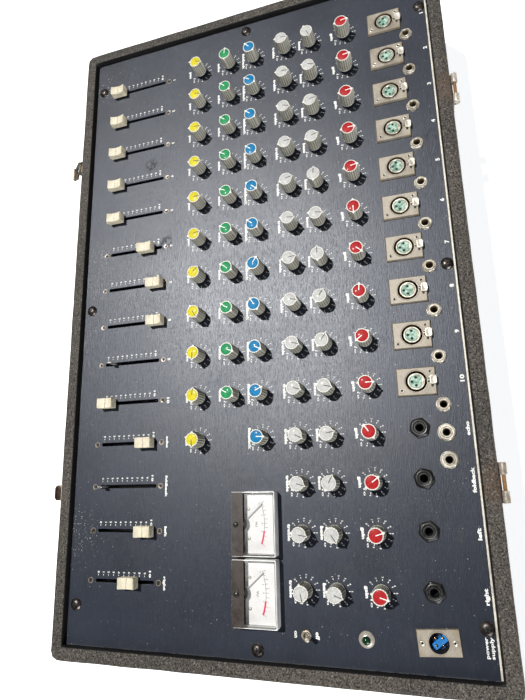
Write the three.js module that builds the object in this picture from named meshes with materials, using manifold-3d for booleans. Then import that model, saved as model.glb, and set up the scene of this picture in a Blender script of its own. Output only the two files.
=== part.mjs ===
// Portable mixing console in a vinyl-covered case, lid taken off.
// Units are millimetres. +X runs along the channel strips from channel 1 to the masters, +Y runs from
// the faders to the sockets, +Z points out of the panel. The origin is the centre of the case bottom.

import * as THREE from 'three';
import { mergeVertices } from 'three/addons/utils/BufferGeometryUtils.js';
import Module from 'manifold-3d';

const wasm = await Module();
wasm.setup();

// ---------------------------------------------------------------- driving dimensions

const STRIP_PITCH = 43.2;            // spacing of the channel strips
const FIRST_STRIP_X = -288;          // channel 1
const GAP = 0.3;                     // clearance between touching pieces

const CASE = { length: 705, width: 429.4, height: 110, wall: 14, bottom: 12, cornerRadius: 8, edge: 4 };
const PANEL = { top: 104, thickness: 2 };
const LEDGE = { width: 12, depth: 12 };

const ROW_Y = {                      // rows of controls, from the faders to the sockets
  fader: -136.5,
  pan: -56.3,
  echo: -19.9,
  foldback: 9.4,
  treble: 46.5,
  bass: 75.4,
  gain: 112.9,
  socket: 156.1,
  outputJack: 155.3,
  channelJack: 177.3,
};

const KNOB = { height: 18.4, foot: 2.4, footRadius: 7.2, topRadius: 6.8, ridge: 8.6, sides: 8 };
const SHAFT_RADIUS = 3;
const POT = { size: 15, height: 8, bushingRadius: 3.4 };
const BOARD = { thickness: 1.6, top: 93 };
const FADER = { travel: 60, slotLength: 65.4, slotWidth: 3.2, bodyLength: 86, bodyWidth: 9.6 };
const LEVER = { thickness: 1.6, width: 5, reach: 8, tab: 11 };
const CAP = { length: 18, width: 10.4, height: 8.8, foot: 1.6, saddle: 2, taper: 0.4 };
const SOCKET = { flangeX: 25.4, flangeY: 34.2, flangeZ: 2.4, body: 11.5, depth: 20 };
const JACK = { bushing: 4.7, bore: 3.44, body: 8, depth: 24, boreDepth: 22 };
const NUT_RADIUS = { channel: 6.5, echo: 7.5, output: 8.3 };
const OUTPUT_OFFSET_X = -2.2;        // the output jacks stand this far off their strip
const METER = { length: 57, width: 42.4, height: 12, base: 2.5, wall: 1.8, y: 2.4, can: 18, pivotY: -11.4 };
const NEEDLE_TILT = 42.3;            // degrees from +Y towards -X, where the needle rests at zero
const POWER = { x: 313.3, y: 155.3, flangeX: 20.7, flangeY: 33.7 };
const TOGGLE = { x: 314.4, y: 46.1, tilt: 16, pivot: 1 };
const PILOT = { x: 314.6, y: 97.7, bezel: 6.7, jewel: 3.5 };
const HINGE = { x: 189.6, length: 33, knuckle: 10, radius: 3.25, pin: 1.6, leafDepth: 30 };
const CATCH = { width: 25, lip: 16, lug: 16, plateWidth: 28, plateDepth: 34, leverLength: 17 };
const CATCH_X = { left: -197.5, right: 192.5 };
const LEVER_TILT = { left: 33, right: 90 };       // degrees below level

// Channels 1 to 10 stand at whole pitches, and so do echo, foldback and left; right stands a little off.
const STRIPS = [
  { name: '01', at: 0, fader: 1.0, gain: 10 },
  { name: '02', at: 1, fader: 2.6, gain: 10 },
  { name: '03', at: 2, fader: 2.6, gain: 8 },
  { name: '04', at: 3, fader: 3.2, gain: 5 },
  { name: '05', at: 4, fader: 4.2, gain: 12 },
  { name: '06', at: 5, fader: 45.1, gain: -90 },
  { name: '07', at: 6, fader: 57.5, gain: -40 },
  { name: '08', at: 7, fader: 59.5, gain: 85 },
  { name: '09', at: 8, fader: 8.5, gain: -145, capless: true },
  { name: '10', at: 9, fader: 3.9, gain: 0 },
  { name: 'echo', at: 10, fader: 51.1, gain: 125, treble: -28, bass: 12 },
  { name: 'foldback', at: 11, fader: 3.8, gain: 38, treble: -17, bass: 62, capless: true },
  { name: 'left', at: 12, fader: 53.0, gain: 18, treble: -11, bass: -59 },
  { name: 'right', at: 13.1, fader: 37.3, gain: -18, treble: -80, bass: -21 },
];
const INPUT_COUNT = 10;
const MASTER_JACKS = [146.6, 169.9];              // echo and spare, in the row of the channel jacks
const METER_X = { left: 222, right: 281.3 };

const panelBottom = PANEL.top - PANEL.thickness;
const ledgeTop = panelBottom - GAP;
const stripX = (strip) => FIRST_STRIP_X + strip.at * STRIP_PITCH;
const inputs = STRIPS.slice(0, INPUT_COUNT);
const masters = STRIPS.slice(INPUT_COUNT);

// ---------------------------------------------------------------- solids

function solidOf(geometry) {
  const bare = geometry.clone();
  bare.deleteAttribute('normal');
  bare.deleteAttribute('uv');
  const merged = mergeVertices(bare, 1e-4);
  const places = merged.getAttribute('position');
  const corners = [];
  for (let i = 0; i < merged.index.count; i += 3) {
    const [a, b, c] = [0, 1, 2].map((k) => merged.index.getX(i + k));
    if (a !== b && b !== c && c !== a) corners.push(a, b, c);
  }
  if (signedVolume(places, corners) < 0) corners.reverse();
  return new wasm.Manifold(new wasm.Mesh({
    numProp: 3,
    vertProperties: new Float32Array(places.array),
    triVerts: new Uint32Array(corners),
  }));
}

function signedVolume(places, corners) {
  const point = (i) => new THREE.Vector3().fromBufferAttribute(places, i);
  let volume = 0;
  for (let i = 0; i < corners.length; i += 3) {
    const [a, b, c] = [0, 1, 2].map((k) => point(corners[i + k]));
    volume += a.dot(b.cross(c)) / 6;
  }
  return volume;
}

function geometryOf(solid) {
  const { vertProperties, triVerts } = solid.getMesh();
  const geometry = new THREE.BufferGeometry();
  geometry.setAttribute('position', new THREE.BufferAttribute(new Float32Array(vertProperties), 3));
  geometry.setIndex(new THREE.BufferAttribute(new Uint32Array(triVerts), 1));
  geometry.computeVertexNormals();
  return geometry;
}

function box([x, y, z], [sx, sy, sz]) {
  return solidOf(new THREE.BoxGeometry(sx, sy, sz).translate(x, y, z + sz / 2));
}

// A profile is a list of [radius, height] pairs that starts and ends on the axis.
function turned(profile, sides, [x, y, z] = [0, 0, 0]) {
  const points = profile.map(([radius, height]) => new THREE.Vector2(radius, height));
  const lathe = new THREE.LatheGeometry(points, sides, Math.PI / sides);
  return solidOf(lathe.rotateX(Math.PI / 2).translate(x, y, z));
}

function prism(shape, height, [x, y, z] = [0, 0, 0], bevel = {}) {
  const options = { depth: height, bevelEnabled: false, curveSegments: 3, ...bevel };
  return solidOf(new THREE.ExtrudeGeometry(shape, options).translate(x, y, z));
}

function rounded(length, width, radius) {
  const [x, y, q] = [length / 2, width / 2, Math.PI / 2];
  const shape = new THREE.Shape();
  shape.moveTo(x - radius, -y);
  shape.absarc(x - radius, radius - y, radius, -q, 0);
  shape.absarc(x - radius, y - radius, radius, 0, q);
  shape.absarc(radius - x, y - radius, radius, q, 2 * q);
  shape.absarc(radius - x, radius - y, radius, 2 * q, 3 * q);
  shape.closePath();
  return shape;
}

function rectangle(length, width, x, y) {
  const path = new THREE.Path();
  path.moveTo(x - length / 2, y - width / 2);
  path.lineTo(x + length / 2, y - width / 2);
  path.lineTo(x + length / 2, y + width / 2);
  path.lineTo(x - length / 2, y + width / 2);
  path.closePath();
  return path;
}

// A shape drawn with +X across and +Y up, pulled along X and centred on the YZ plane.
function acrossX(shape, length, options = {}) {
  const geometry = new THREE.ExtrudeGeometry(shape, { depth: length, bevelEnabled: false, ...options });
  return solidOf(geometry.rotateX(Math.PI / 2).rotateZ(Math.PI / 2).translate(-length / 2, 0, 0));
}

const joined = (solids) => solids.reduce((sum, solid) => sum.add(solid));

// ---------------------------------------------------------------- materials

function paint(color, roughness, metalness = 0) {
  return new THREE.MeshStandardMaterial({ color, roughness, metalness });
}

const MATERIAL = {
  vinyl: paint(0x4a4642, 0.85),
  panel: paint(0x4c5261, 0.45, 0.2),
  knob: paint(0x9b9a8c, 0.5),
  cream: paint(0xe6dcb8, 0.45),
  nickel: paint(0xc9c0ae, 0.35, 1),
  chrome: paint(0xe2e2e2, 0.12, 1),
  black: paint(0x151515, 0.45),
  brass: paint(0x9a7b4f, 0.4, 1),
  dial: paint(0xf2f0ea, 0.6),
  clear: paint(0xf4f6f8, 0.08),
  board: paint(0x6d5a2c, 0.6),
  steel: paint(0x8d8f92, 0.4, 1),
  lamp: paint(0x1f4030, 0.2),
};

const mixer = new THREE.Group();

function place(name, solid, material, [x, y, z] = [0, 0, 0], parent = mixer) {
  const mesh = new THREE.Mesh(geometryOf(solid), material);
  mesh.name = name;
  mesh.position.set(x, y, z);
  parent.add(mesh);
  return mesh;
}

// ---------------------------------------------------------------- case

function caseWalls() {
  const { length, width, height, wall, bottom, cornerRadius, edge } = CASE;
  const foot = bottom + GAP;
  const outline = rounded(length - 2 * edge, width - 2 * edge, cornerRadius - edge);
  const bevel = { bevelEnabled: true, bevelThickness: edge, bevelSize: edge, bevelSegments: 2 };
  const block = prism(outline, height - edge, [0, 0, 0], bevel);
  const below = box([0, 0, -2 * edge], [length + 10, width + 10, foot + 2 * edge]);
  const inside = [length - 2 * wall, width - 2 * wall];
  const above = box([0, 0, ledgeTop], [...inside, height]);
  const under = box([0, 0, 0], [...inside, ledgeTop - LEDGE.depth]);
  const between = box([0, 0, 0], [inside[0] - 2 * LEDGE.width, inside[1] - 2 * LEDGE.width, height]);
  return block.subtract(below).subtract(above).subtract(under).subtract(between);
}

function caseBottom() {
  return prism(rounded(CASE.length, CASE.width, CASE.cornerRadius), CASE.bottom);
}

function controlPanel() {
  const inside = { length: CASE.length - 2 * CASE.wall, width: CASE.width - 2 * CASE.wall };
  const sheet = rounded(inside.length - 2 * GAP, inside.width - 2 * GAP, 1);
  const [foot, head] = [panelBottom - 1, PANEL.top + 1];
  const holes = [];
  const hole = (radius, sides, x, y) => {
    holes.push(turned([[0, foot], [radius, foot], [radius, head], [0, head]], sides, [x, y, 0]));
  };
  for (const strip of STRIPS) {
    holes.push(box([stripX(strip), ROW_Y.fader, foot], [FADER.slotWidth, FADER.slotLength, head - foot]));
    for (const row of knobRows(strip)) hole(4.5, 6, stripX(strip), ROW_Y[row]);
  }
  for (const strip of inputs) {
    hole(SOCKET.body + 1, 8, stripX(strip), ROW_Y.socket);
    hole(JACK.bushing + 1, 6, stripX(strip) + STRIP_PITCH / 2, ROW_Y.channelJack);
  }
  for (const x of MASTER_JACKS) hole(JACK.bushing + 1, 6, x, ROW_Y.channelJack);
  for (const strip of masters) hole(JACK.bushing + 1, 6, stripX(strip) + OUTPUT_OFFSET_X, ROW_Y.outputJack);
  for (const x of Object.values(METER_X)) hole(METER.can + 1, 8, x, METER.y);
  hole(10.5, 8, POWER.x, POWER.y);
  hole(4.5, 6, TOGGLE.x, TOGGLE.y);
  hole(5.5, 6, PILOT.x, PILOT.y);
  return prism(sheet, PANEL.thickness, [0, 0, panelBottom]).subtract(joined(holes));
}

// ---------------------------------------------------------------- knobs and their board

function knobRows(strip) {
  if (strip.at < INPUT_COUNT) return ['pan', 'echo', 'foldback', 'treble', 'bass', 'gain'];
  return strip.name === 'echo' ? ['pan', 'foldback', 'treble', 'bass', 'gain'] : ['treble', 'bass', 'gain'];
}

const turnsFreely = (strip, row) => strip[row] !== undefined;

// Heights are counted from the panel's top face. The shaft reaches down to its potentiometer.
function knobWithShaft(shaftRadius, shaftFoot) {
  return turned([
    [0, shaftFoot],
    [shaftRadius, shaftFoot],
    [shaftRadius, KNOB.foot],
    [KNOB.footRadius, KNOB.foot],
    [KNOB.topRadius, KNOB.height],
    [0, KNOB.height],
  ], KNOB.sides);
}

// The two opposed ridges down the sides of a knob; the one towards +Y points at the dial.
function knobRidges() {
  const shoulder = KNOB.topRadius - 0.6;
  const outline = new THREE.Shape();
  outline.moveTo(1.4, -shoulder);
  outline.lineTo(1.4, shoulder);
  outline.lineTo(0, KNOB.ridge);
  outline.lineTo(-1.4, shoulder);
  outline.lineTo(-1.4, -shoulder);
  outline.lineTo(0, -KNOB.ridge);
  outline.closePath();
  return prism(outline, KNOB.height - KNOB.foot - 0.6, [0, 0, KNOB.foot]);
}

function channelBoard() {
  const potTop = BOARD.top + POT.height - PANEL.top;
  const fixedKnob = knobWithShaft(POT.bushingRadius, potTop - 1);
  const outline = new THREE.Shape();
  const [near, far] = [ROW_Y.pan - 10, ROW_Y.gain + 10];
  const [first, echo, last] = [STRIPS[0], masters[0], masters.at(-1)].map(stripX);
  outline.moveTo(first - 12, near);
  outline.lineTo(echo + 20, near);
  outline.lineTo(echo + 20, ROW_Y.treble - 11);
  outline.lineTo(last + 12, ROW_Y.treble - 11);
  outline.lineTo(last + 12, far);
  outline.lineTo(first - 12, far);
  outline.closePath();
  const solids = [prism(outline, BOARD.thickness, [0, 0, BOARD.top - BOARD.thickness])];
  for (const strip of STRIPS) {
    for (const row of knobRows(strip)) {
      const centre = [stripX(strip), ROW_Y[row]];
      solids.push(box([...centre, BOARD.top - 0.5], [POT.size, POT.size, POT.height + 0.5]));
      if (!turnsFreely(strip, row)) solids.push(fixedKnob.translate([...centre, PANEL.top]));
    }
  }
  return joined(solids);
}

function placeKnobs() {
  const shaftFoot = BOARD.top + POT.height + GAP - PANEL.top;
  const solid = knobWithShaft(SHAFT_RADIUS, shaftFoot).add(knobRidges());
  for (const strip of STRIPS) {
    for (const row of knobRows(strip)) {
      if (!turnsFreely(strip, row)) continue;
      const centre = [stripX(strip), ROW_Y[row], PANEL.top];
      const knob = place(`${row}_knob_${strip.name}`, solid, MATERIAL.knob, centre);
      knob.rotation.z = THREE.MathUtils.degToRad(strip[row]);
    }
  }
}

// ---------------------------------------------------------------- faders

function faderBoard() {
  const [floor, top] = [BOARD.top - 4, ledgeTop - 0.2];
  const [first, last] = [STRIPS[0], masters.at(-1)].map(stripX);
  const middle = (first + last) / 2;
  const plate = box([middle, ROW_Y.fader, floor - BOARD.thickness], [last - first + 20, 80, BOARD.thickness]);
  const solids = [plate];
  for (const strip of STRIPS) {
    const x = stripX(strip);
    const body = box([x, ROW_Y.fader, floor - 0.5], [FADER.bodyWidth, FADER.bodyLength, top - floor + 0.5]);
    const track = box([x, ROW_Y.fader, floor + 2], [FADER.slotWidth, FADER.slotLength, top]);
    solids.push(body.subtract(track));
  }
  return joined(solids);
}

function faderLever(top) {
  return box([0, 0, -LEVER.reach], [LEVER.thickness, LEVER.width, LEVER.reach + top]);
}

// Seen from the side the cap is a low block with a finger hollow across its top.
function faderCap() {
  const half = CAP.length / 2;
  const [foot, top] = [CAP.foot, CAP.foot + CAP.height];
  const side = new THREE.Shape();
  side.moveTo(-half, foot);
  side.lineTo(half, foot);
  side.lineTo(half - CAP.taper, top);
  side.quadraticCurveTo(0, top - 2 * CAP.saddle, CAP.taper - half, top);
  side.closePath();
  return acrossX(side, CAP.width, { curveSegments: 6 });
}

function placeFaders() {
  const bare = faderLever(LEVER.tab);
  const capped = faderLever(CAP.foot + 1).add(faderCap());
  for (const strip of STRIPS) {
    const y = ROW_Y.fader - FADER.travel / 2 + strip.fader;
    const [solid, material] = strip.capless ? [bare, MATERIAL.black] : [capped, MATERIAL.cream];
    place(`fader_${strip.name}`, solid, material, [stripX(strip), y, PANEL.top]);
  }
}

// ---------------------------------------------------------------- sockets and jacks

// The bar is the earth wire that runs from one connector to the next behind the panel.
function earthBar(xs, y, z) {
  const [from, to] = [Math.min(...xs), Math.max(...xs)];
  return box([(from + to) / 2, y, z], [to - from, 2, 2]);
}

function inputSockets() {
  const [flangeFoot, flangeTop] = [GAP, GAP + SOCKET.flangeZ];
  const flange = box([0, 0, flangeFoot], [SOCKET.flangeX, SOCKET.flangeY, SOCKET.flangeZ]);
  const body = turned([
    [0, -SOCKET.depth],
    [SOCKET.body, -SOCKET.depth],
    [SOCKET.body, flangeFoot + 0.5],
    [0, flangeFoot + 0.5],
  ], 8);
  const groove = turned([
    [7.6, -12],
    [9.4, -12],
    [9.4, flangeTop + 1],
    [7.6, flangeTop + 1],
    [7.6, -12],
  ], 12);
  let socket = flange.add(body).subtract(groove);
  for (const [x, y] of [[-3.6, 0.6], [3.6, 0.6], [0, -3.6]]) {
    const pinHole = turned([[0, -9], [1.3, -9], [1.3, 9], [0, 9]], 6, [x, y, 0]);
    socket = socket.subtract(pinHole);
  }
  const xs = inputs.map(stripX);
  const bar = earthBar(xs, ROW_Y.socket, PANEL.top - SOCKET.depth);
  return joined([bar, ...xs.map((x) => socket.translate([x, ROW_Y.socket, PANEL.top]))]);
}

function phoneJack(nutRadius) {
  return turned([
    [0, -JACK.depth],
    [JACK.body, -JACK.depth],
    [JACK.body, -PANEL.thickness - GAP],
    [JACK.bushing, -PANEL.thickness - GAP],
    [JACK.bushing, GAP],
    [nutRadius, GAP],
    [nutRadius, 2.4],
    [JACK.bore, 3.4],
    [JACK.bore, -JACK.boreDepth],
    [0, -JACK.boreDepth],
  ], 8);
}

// Each jack is an [x, nut radius] pair.
function jackRow(jacks, y, barOffset) {
  const bar = earthBar(jacks.map(([x]) => x), y + barOffset, PANEL.top - JACK.depth + 3);
  return joined([bar, ...jacks.map(([x, nutRadius]) => phoneJack(nutRadius).translate([x, y, PANEL.top]))]);
}

function channelJacks() {
  const channel = inputs.map((strip) => [stripX(strip) + STRIP_PITCH / 2, NUT_RADIUS.channel]);
  const echo = MASTER_JACKS.map((x) => [x, NUT_RADIUS.echo]);
  return jackRow([...channel, ...echo], ROW_Y.channelJack, 6);
}

function outputJacks() {
  const jacks = masters.map((strip) => [stripX(strip) + OUTPUT_OFFSET_X, NUT_RADIUS.output]);
  return jackRow(jacks, ROW_Y.outputJack, -6);
}

function powerInlet() {
  const flange = box([0, 0, GAP], [POWER.flangeX, POWER.flangeY, 1.7]);
  const shell = turned([[0, -18], [9.3, -18], [9.3, 1], [0, 1]], 8);
  const well = turned([[0, -11], [7.9, -11], [7.9, 9], [0, 9]], 12);
  const pins = [0, 1, 2, 3].map((i) => {
    const angle = (i + 0.5) * (Math.PI / 2);
    const foot = [4.4 * Math.cos(angle), 4.4 * Math.sin(angle), 0];
    return turned([[0, -11.5], [0.8, -11.5], [0.8, -1.5], [0, -1.5]], 5, foot);
  });
  return joined([flange.add(shell).subtract(well), ...pins]);
}

// ---------------------------------------------------------------- meters, lamp and power switch

function meterBody() {
  const base = box([0, 0, GAP], [METER.length - 0.8, METER.width - 0.8, METER.base - GAP]);
  const can = turned([[0, -26], [METER.can, -26], [METER.can, 1], [0, 1]], 8);
  const dial = box([0, 6, 2], [METER.length - 6, METER.width - 16.6, 3.4]);
  const pivot = turned([[0, 2], [1.1, 2], [1.1, 6.2], [0, 6.2]], 6, [0, METER.pivotY, 0]);
  return joined([base, can, dial, pivot]);
}

function meterCover() {
  const { length, width, height, base, wall } = METER;
  const shell = box([0, 0, base + GAP], [length, width, height - base - GAP]);
  const hollow = box([0, 0, 0], [length - 2 * wall, width - 2 * wall, height - 1.6]);
  return shell.subtract(hollow);
}

function meterNeedle() {
  const hub = turned([[0, 0], [2, 0], [2, 0.9], [0, 0.9]], 8);
  return hub.add(box([0, 11.5, 0.2], [0.8, 27, 0.5]));
}

function placeMeters() {
  for (const [side, x] of Object.entries(METER_X)) {
    place(`vu_meter_${side}`, meterBody(), MATERIAL.dial, [x, METER.y, PANEL.top]);
    place(`vu_cover_${side}`, meterCover(), MATERIAL.clear, [x, METER.y, PANEL.top]);
    const pivot = [x, METER.y + METER.pivotY, PANEL.top + 6.5];
    const needle = place(`vu_needle_${side}`, meterNeedle(), MATERIAL.black, pivot);
    needle.rotation.z = THREE.MathUtils.degToRad(NEEDLE_TILT);
  }
}

function pilotLamp() {
  return turned([
    [0, -20],
    [4.6, -20],
    [4.6, GAP],
    [PILOT.bezel, GAP],
    [PILOT.bezel, 1.6],
    [PILOT.jewel, 3.8],
    [PILOT.jewel - 1.2, 5.2],
    [0, 5.8],
  ], 10);
}

function toggleBody() {
  const shell = box([0, 0, -15], [8, 13, 12.7]);
  const collar = turned([
    [0, -3],
    [3.6, -3],
    [3.6, GAP],
    [4.6, GAP],
    [4.6, 2.3],
    [3.6, 2.3],
    [3.6, 4],
    [0, 4],
  ], 8);
  const well = turned([[0, -4], [2.7, -4], [2.7, 5], [0, 5]], 8);
  return shell.add(collar).subtract(well);
}

function toggleLever() {
  return turned([[0, -2], [1.5, -1.3], [1.5, 1.2], [1.1, 2], [2.1, 13.4], [0, 14.4]], 8);
}

// ---------------------------------------------------------------- hinges and catches

// Half of a lift-off hinge: a leaf on the back wall, two knuckles on its top edge and the pin between.
function rearHinge() {
  const outer = CASE.width / 2 + GAP;
  const axis = outer + HINGE.radius + 0.2;
  const round = (radius, length, x) => solidOf(
    new THREE.CylinderGeometry(radius, radius, length, 10).rotateZ(Math.PI / 2).translate(x, axis, 0),
  );
  const leaf = box([0, outer + 0.75, -HINGE.leafDepth], [HINGE.length, 1.5, HINGE.leafDepth + 1]);
  const end = (HINGE.length - HINGE.knuckle) / 2;
  return joined([
    leaf,
    round(HINGE.radius, HINGE.knuckle, -end),
    round(HINGE.radius, HINGE.knuckle, end),
    round(HINGE.pin, HINGE.length - 2, 0),
  ]);
}

// The fixed plate of a draw catch, with two ears that hold the lever's pin. Outwards is -Y.
// A bridged plate has a tongue over its ears.
function catchPlate(bridged) {
  const plate = box([0, -0.75, -CATCH.plateDepth], [CATCH.plateWidth, 1.5, CATCH.plateDepth]);
  const ears = [-1, 1].map((side) => box([side * (CATCH.lug / 2 - 1), -4.5, -7], [1.6, 9, 7]));
  const tongue = bridged ? [box([0, -4.9, -1.2], [CATCH.lug, 9.8, 1.2])] : [];
  return joined([plate, ...ears, ...tongue]);
}

// The lever hangs on the Y = 0, Z = 0 axis and points along -Y; its free end is rolled over.
function catchLever() {
  const { leverLength: reach, width, lip, lug } = CATCH;
  const inner = lug / 2 - 2.4;
  const outline = new THREE.Shape();
  outline.moveTo(-inner, 1.4);
  outline.lineTo(-inner, -4.6);
  outline.lineTo(-width / 2, -6.6);
  outline.lineTo(-lip / 2, -reach);
  outline.lineTo(lip / 2, -reach);
  outline.lineTo(width / 2, -6.6);
  outline.lineTo(inner, -4.6);
  outline.lineTo(inner, 1.4);
  outline.closePath();
  outline.holes.push(rectangle(9, 2.2, 0, -reach + 2.6));
  const eye = new THREE.Path();
  eye.absellipse(0, -7.6, 4.6, 2.7, 0, 2 * Math.PI);
  outline.holes.push(eye);
  const plate = prism(outline, 1.6, [0, 0, -0.8]);
  const roll = new THREE.CylinderGeometry(2.2, 2.2, lip, 8).rotateZ(Math.PI / 2);
  const pin = new THREE.CylinderGeometry(1.4, 1.4, 2 * inner, 8).rotateZ(Math.PI / 2);
  return joined([plate, solidOf(roll.translate(0, -reach - 1, 0)), solidOf(pin)]);
}

function placeCatches() {
  const face = -CASE.width / 2 - GAP;
  for (const [side, x] of Object.entries(CATCH_X)) {
    place(`catch_plate_${side}`, catchPlate(side === 'right'), MATERIAL.brass, [x, face, PANEL.top + 2]);
    const lever = place(`catch_lever_${side}`, catchLever(), MATERIAL.brass, [x, face - 6.2, PANEL.top - 2]);
    lever.rotation.x = THREE.MathUtils.degToRad(LEVER_TILT[side]);
  }
}

// ---------------------------------------------------------------- assembly

place('case_walls', caseWalls(), MATERIAL.vinyl);
place('case_bottom', caseBottom(), MATERIAL.vinyl);
place('control_panel', controlPanel(), MATERIAL.panel);
place('channel_board', channelBoard(), MATERIAL.board);
placeKnobs();
place('fader_board', faderBoard(), MATERIAL.steel);
placeFaders();
place('input_sockets', inputSockets(), MATERIAL.nickel);
place('channel_jacks', channelJacks(), MATERIAL.chrome);
place('output_jacks', outputJacks(), MATERIAL.black);
place('power_inlet', powerInlet(), MATERIAL.nickel, [POWER.x, POWER.y, PANEL.top]);
placeMeters();
place('pilot_lamp', pilotLamp(), MATERIAL.lamp, [PILOT.x, PILOT.y, PANEL.top]);
place('toggle_body', toggleBody(), MATERIAL.chrome, [TOGGLE.x, TOGGLE.y, PANEL.top]);
const leverPivot = [TOGGLE.x, TOGGLE.y, PANEL.top + TOGGLE.pivot];
const lever = place('toggle_lever', toggleLever(), MATERIAL.chrome, leverPivot);
lever.rotation.x = THREE.MathUtils.degToRad(-TOGGLE.tilt);
for (const [side, sign] of [['left', -1], ['right', 1]]) {
  place(`rear_hinge_${side}`, rearHinge(), MATERIAL.brass, [sign * HINGE.x, 0, PANEL.top - 1]);
}
placeCatches();

export default mixer;
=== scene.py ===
"""Looks for the portable mixing console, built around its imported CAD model."""

import math

import bmesh
import bpy
import numpy as np
from mathutils import Matrix, Vector, noise


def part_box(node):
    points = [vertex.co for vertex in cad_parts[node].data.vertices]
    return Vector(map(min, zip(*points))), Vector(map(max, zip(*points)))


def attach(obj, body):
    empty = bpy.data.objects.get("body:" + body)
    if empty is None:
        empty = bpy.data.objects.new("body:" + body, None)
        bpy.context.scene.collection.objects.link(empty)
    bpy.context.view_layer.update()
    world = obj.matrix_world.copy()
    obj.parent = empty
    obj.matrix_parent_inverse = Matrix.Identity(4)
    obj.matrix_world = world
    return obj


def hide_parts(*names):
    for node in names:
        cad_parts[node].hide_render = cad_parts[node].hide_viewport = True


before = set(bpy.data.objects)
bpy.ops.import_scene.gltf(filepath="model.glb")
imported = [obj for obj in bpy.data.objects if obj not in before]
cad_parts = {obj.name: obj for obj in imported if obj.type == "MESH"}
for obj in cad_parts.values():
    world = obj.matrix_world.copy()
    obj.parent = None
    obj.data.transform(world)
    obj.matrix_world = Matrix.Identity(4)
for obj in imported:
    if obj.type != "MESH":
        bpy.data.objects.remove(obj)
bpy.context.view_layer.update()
scene = bpy.context.scene

# ---------------------------------------------------------------- layout
# Lengths are millimetres, in the frame of the CAD model: +X along the channel strips,
# +Y from the faders to the sockets, +Z out of the panel. Angles are degrees.

MM = 0.001
TOP = 104.0  # top face of the panel
RIM = 110.0  # top of the case walls
CASE_LENGTH, CASE_WIDTH, WALL = 705.0, 429.4, 14.0
PITCH = 43.2
FIRST = -288.0

STRIP_AT = {f"{n + 1:02d}": float(n) for n in range(10)}
STRIP_AT.update({"echo": 10.0, "foldback": 11.0, "left": 12.0, "right": 13.1})
STRIP_X = {name: FIRST + at * PITCH for name, at in STRIP_AT.items()}
INPUTS = [name for name in STRIP_AT if name.isdigit()]
MASTERS = ["echo", "foldback", "left", "right"]
ROW_Y = {
    "fader": -136.5,
    "pan": -56.3,
    "echo": -19.9,
    "foldback": 9.4,
    "treble": 46.5,
    "bass": 75.4,
    "gain": 112.9,
    "socket": 156.1,
    "output": 155.3,
    "jack": 177.3,
}
WORD_LENGTH = {
    "pan": 9.0, "echo": 12.0, "foldback": 21.0, "treble": 15.0, "bass": 12.0, "gain": 10.0,
    "left": 9.5, "right": 12.5, "power": 15.4, "supply": 15.8, "10": 6.4,
}
LABEL_Y = {"pan": -70.3, "echo": -34.0, "foldback": -3.3, "treble": 33.2, "bass": 63.6, "gain": 100.1}
CAPLESS = ("09", "foldback")
SLOT_LENGTH, SLOT_WIDTH = 65.4, 3.2
OUTPUT_X = -2.2  # the output jacks stand this far off their strip
MASTER_JACKS = (146.6, 169.9)
METER_X = {"left": 222.0, "right": 281.3}
METER_Y, METER_LENGTH, METER_WIDTH, METER_TOP = 2.4, 57.0, 42.4, 12.0
PIVOT_Y, NEEDLE_TILT, SCALE_RADIUS, SCALE_Y = -11.4, 42.3, 53.8, -44.4  # from the middle of a meter
POWER_X, POWER_Y = 313.3, 155.3
TOGGLE_X, TOGGLE_Y = 314.4, 46.1
PILOT_X, PILOT_Y = 314.6, 97.7
HINGE_X = 189.6
CATCH_PIN = (-CASE_WIDTH / 2 - 6.5, TOP - 2.0)  # y and z of the pins that the levers hang from
LEVER_TILT = {"left": 33.0, "right": 90.0}  # below level
DIAL_TICKS, DIAL_NUMBERS = 10.2, 12.3  # radii round a knob
DIAL_START, DIAL_STEP = 140.0, 28.0
FADER_START, FADER_STEP = -29.7, 5.8  # the numbers along a slot, from its middle
FADER_SCREW_Y = (-98.7, -175.0)
FRONT_WORDS_Y, REAR_WORDS_Y = -92.3, 195.0
CATCH_X = {"left": -197.5, "right": 192.5}

INK_MARKS = ((-296.0, -106.0, TOP), (-143.0, 192.0, TOP), (-178.0, -120.0, TOP), (-76.0, -98.0, TOP))

# Where each knob that the CAD holds still points, counted from +Y towards -X.
POINTS = {
    "pan": [-11, -12, 0, -6, 0, 14, 50, -62, -95, 85, -92],
    "echo": [84, 138, 140, 147, 153, 153, 148, 142, -21, 150],
    "foldback": [131, 147, 138, 140, -37, 139, 57, 121, -27, 27, -3],
    "treble": [0, -3, -13, 13, 17, -7, 9, -11, -17, -17],
    "bass": [-67, -14, 13, 19, 86, -7, 90, 58, 54, -14],
}
TURNED = {
    "gain": [10, 10, 8, 5, 12, -90, -40, 85, -145, 0, 125, 38, 18, -18],
    "treble": [-28, -17, -11, -80],
    "bass": [12, 62, -59, -21],
}

# ---------------------------------------------------------------- shapes


class Shape:
    """Points in millimetres, faces, and the material number of each face."""

    def __init__(self):
        self.points = np.zeros((0, 3))
        self.faces = []
        self.marks = []

    def put(self, other, at=(0, 0, 0), turn=0.0, mark=None, matrix=None):
        """Adds a copy of another shape, turned about Z and then moved."""
        if matrix is None:
            matrix = Matrix.Translation(at) @ Matrix.Rotation(math.radians(turn), 4, "Z")
        m = np.array(matrix)
        moved = other.points @ m[:3, :3].T + m[:3, 3]
        start = len(self.points)
        self.points = np.concatenate([self.points, moved])
        self.faces += [tuple(start + i for i in face) for face in other.faces]
        self.marks += other.marks if mark is None else [mark] * len(other.faces)
        return self


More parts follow.
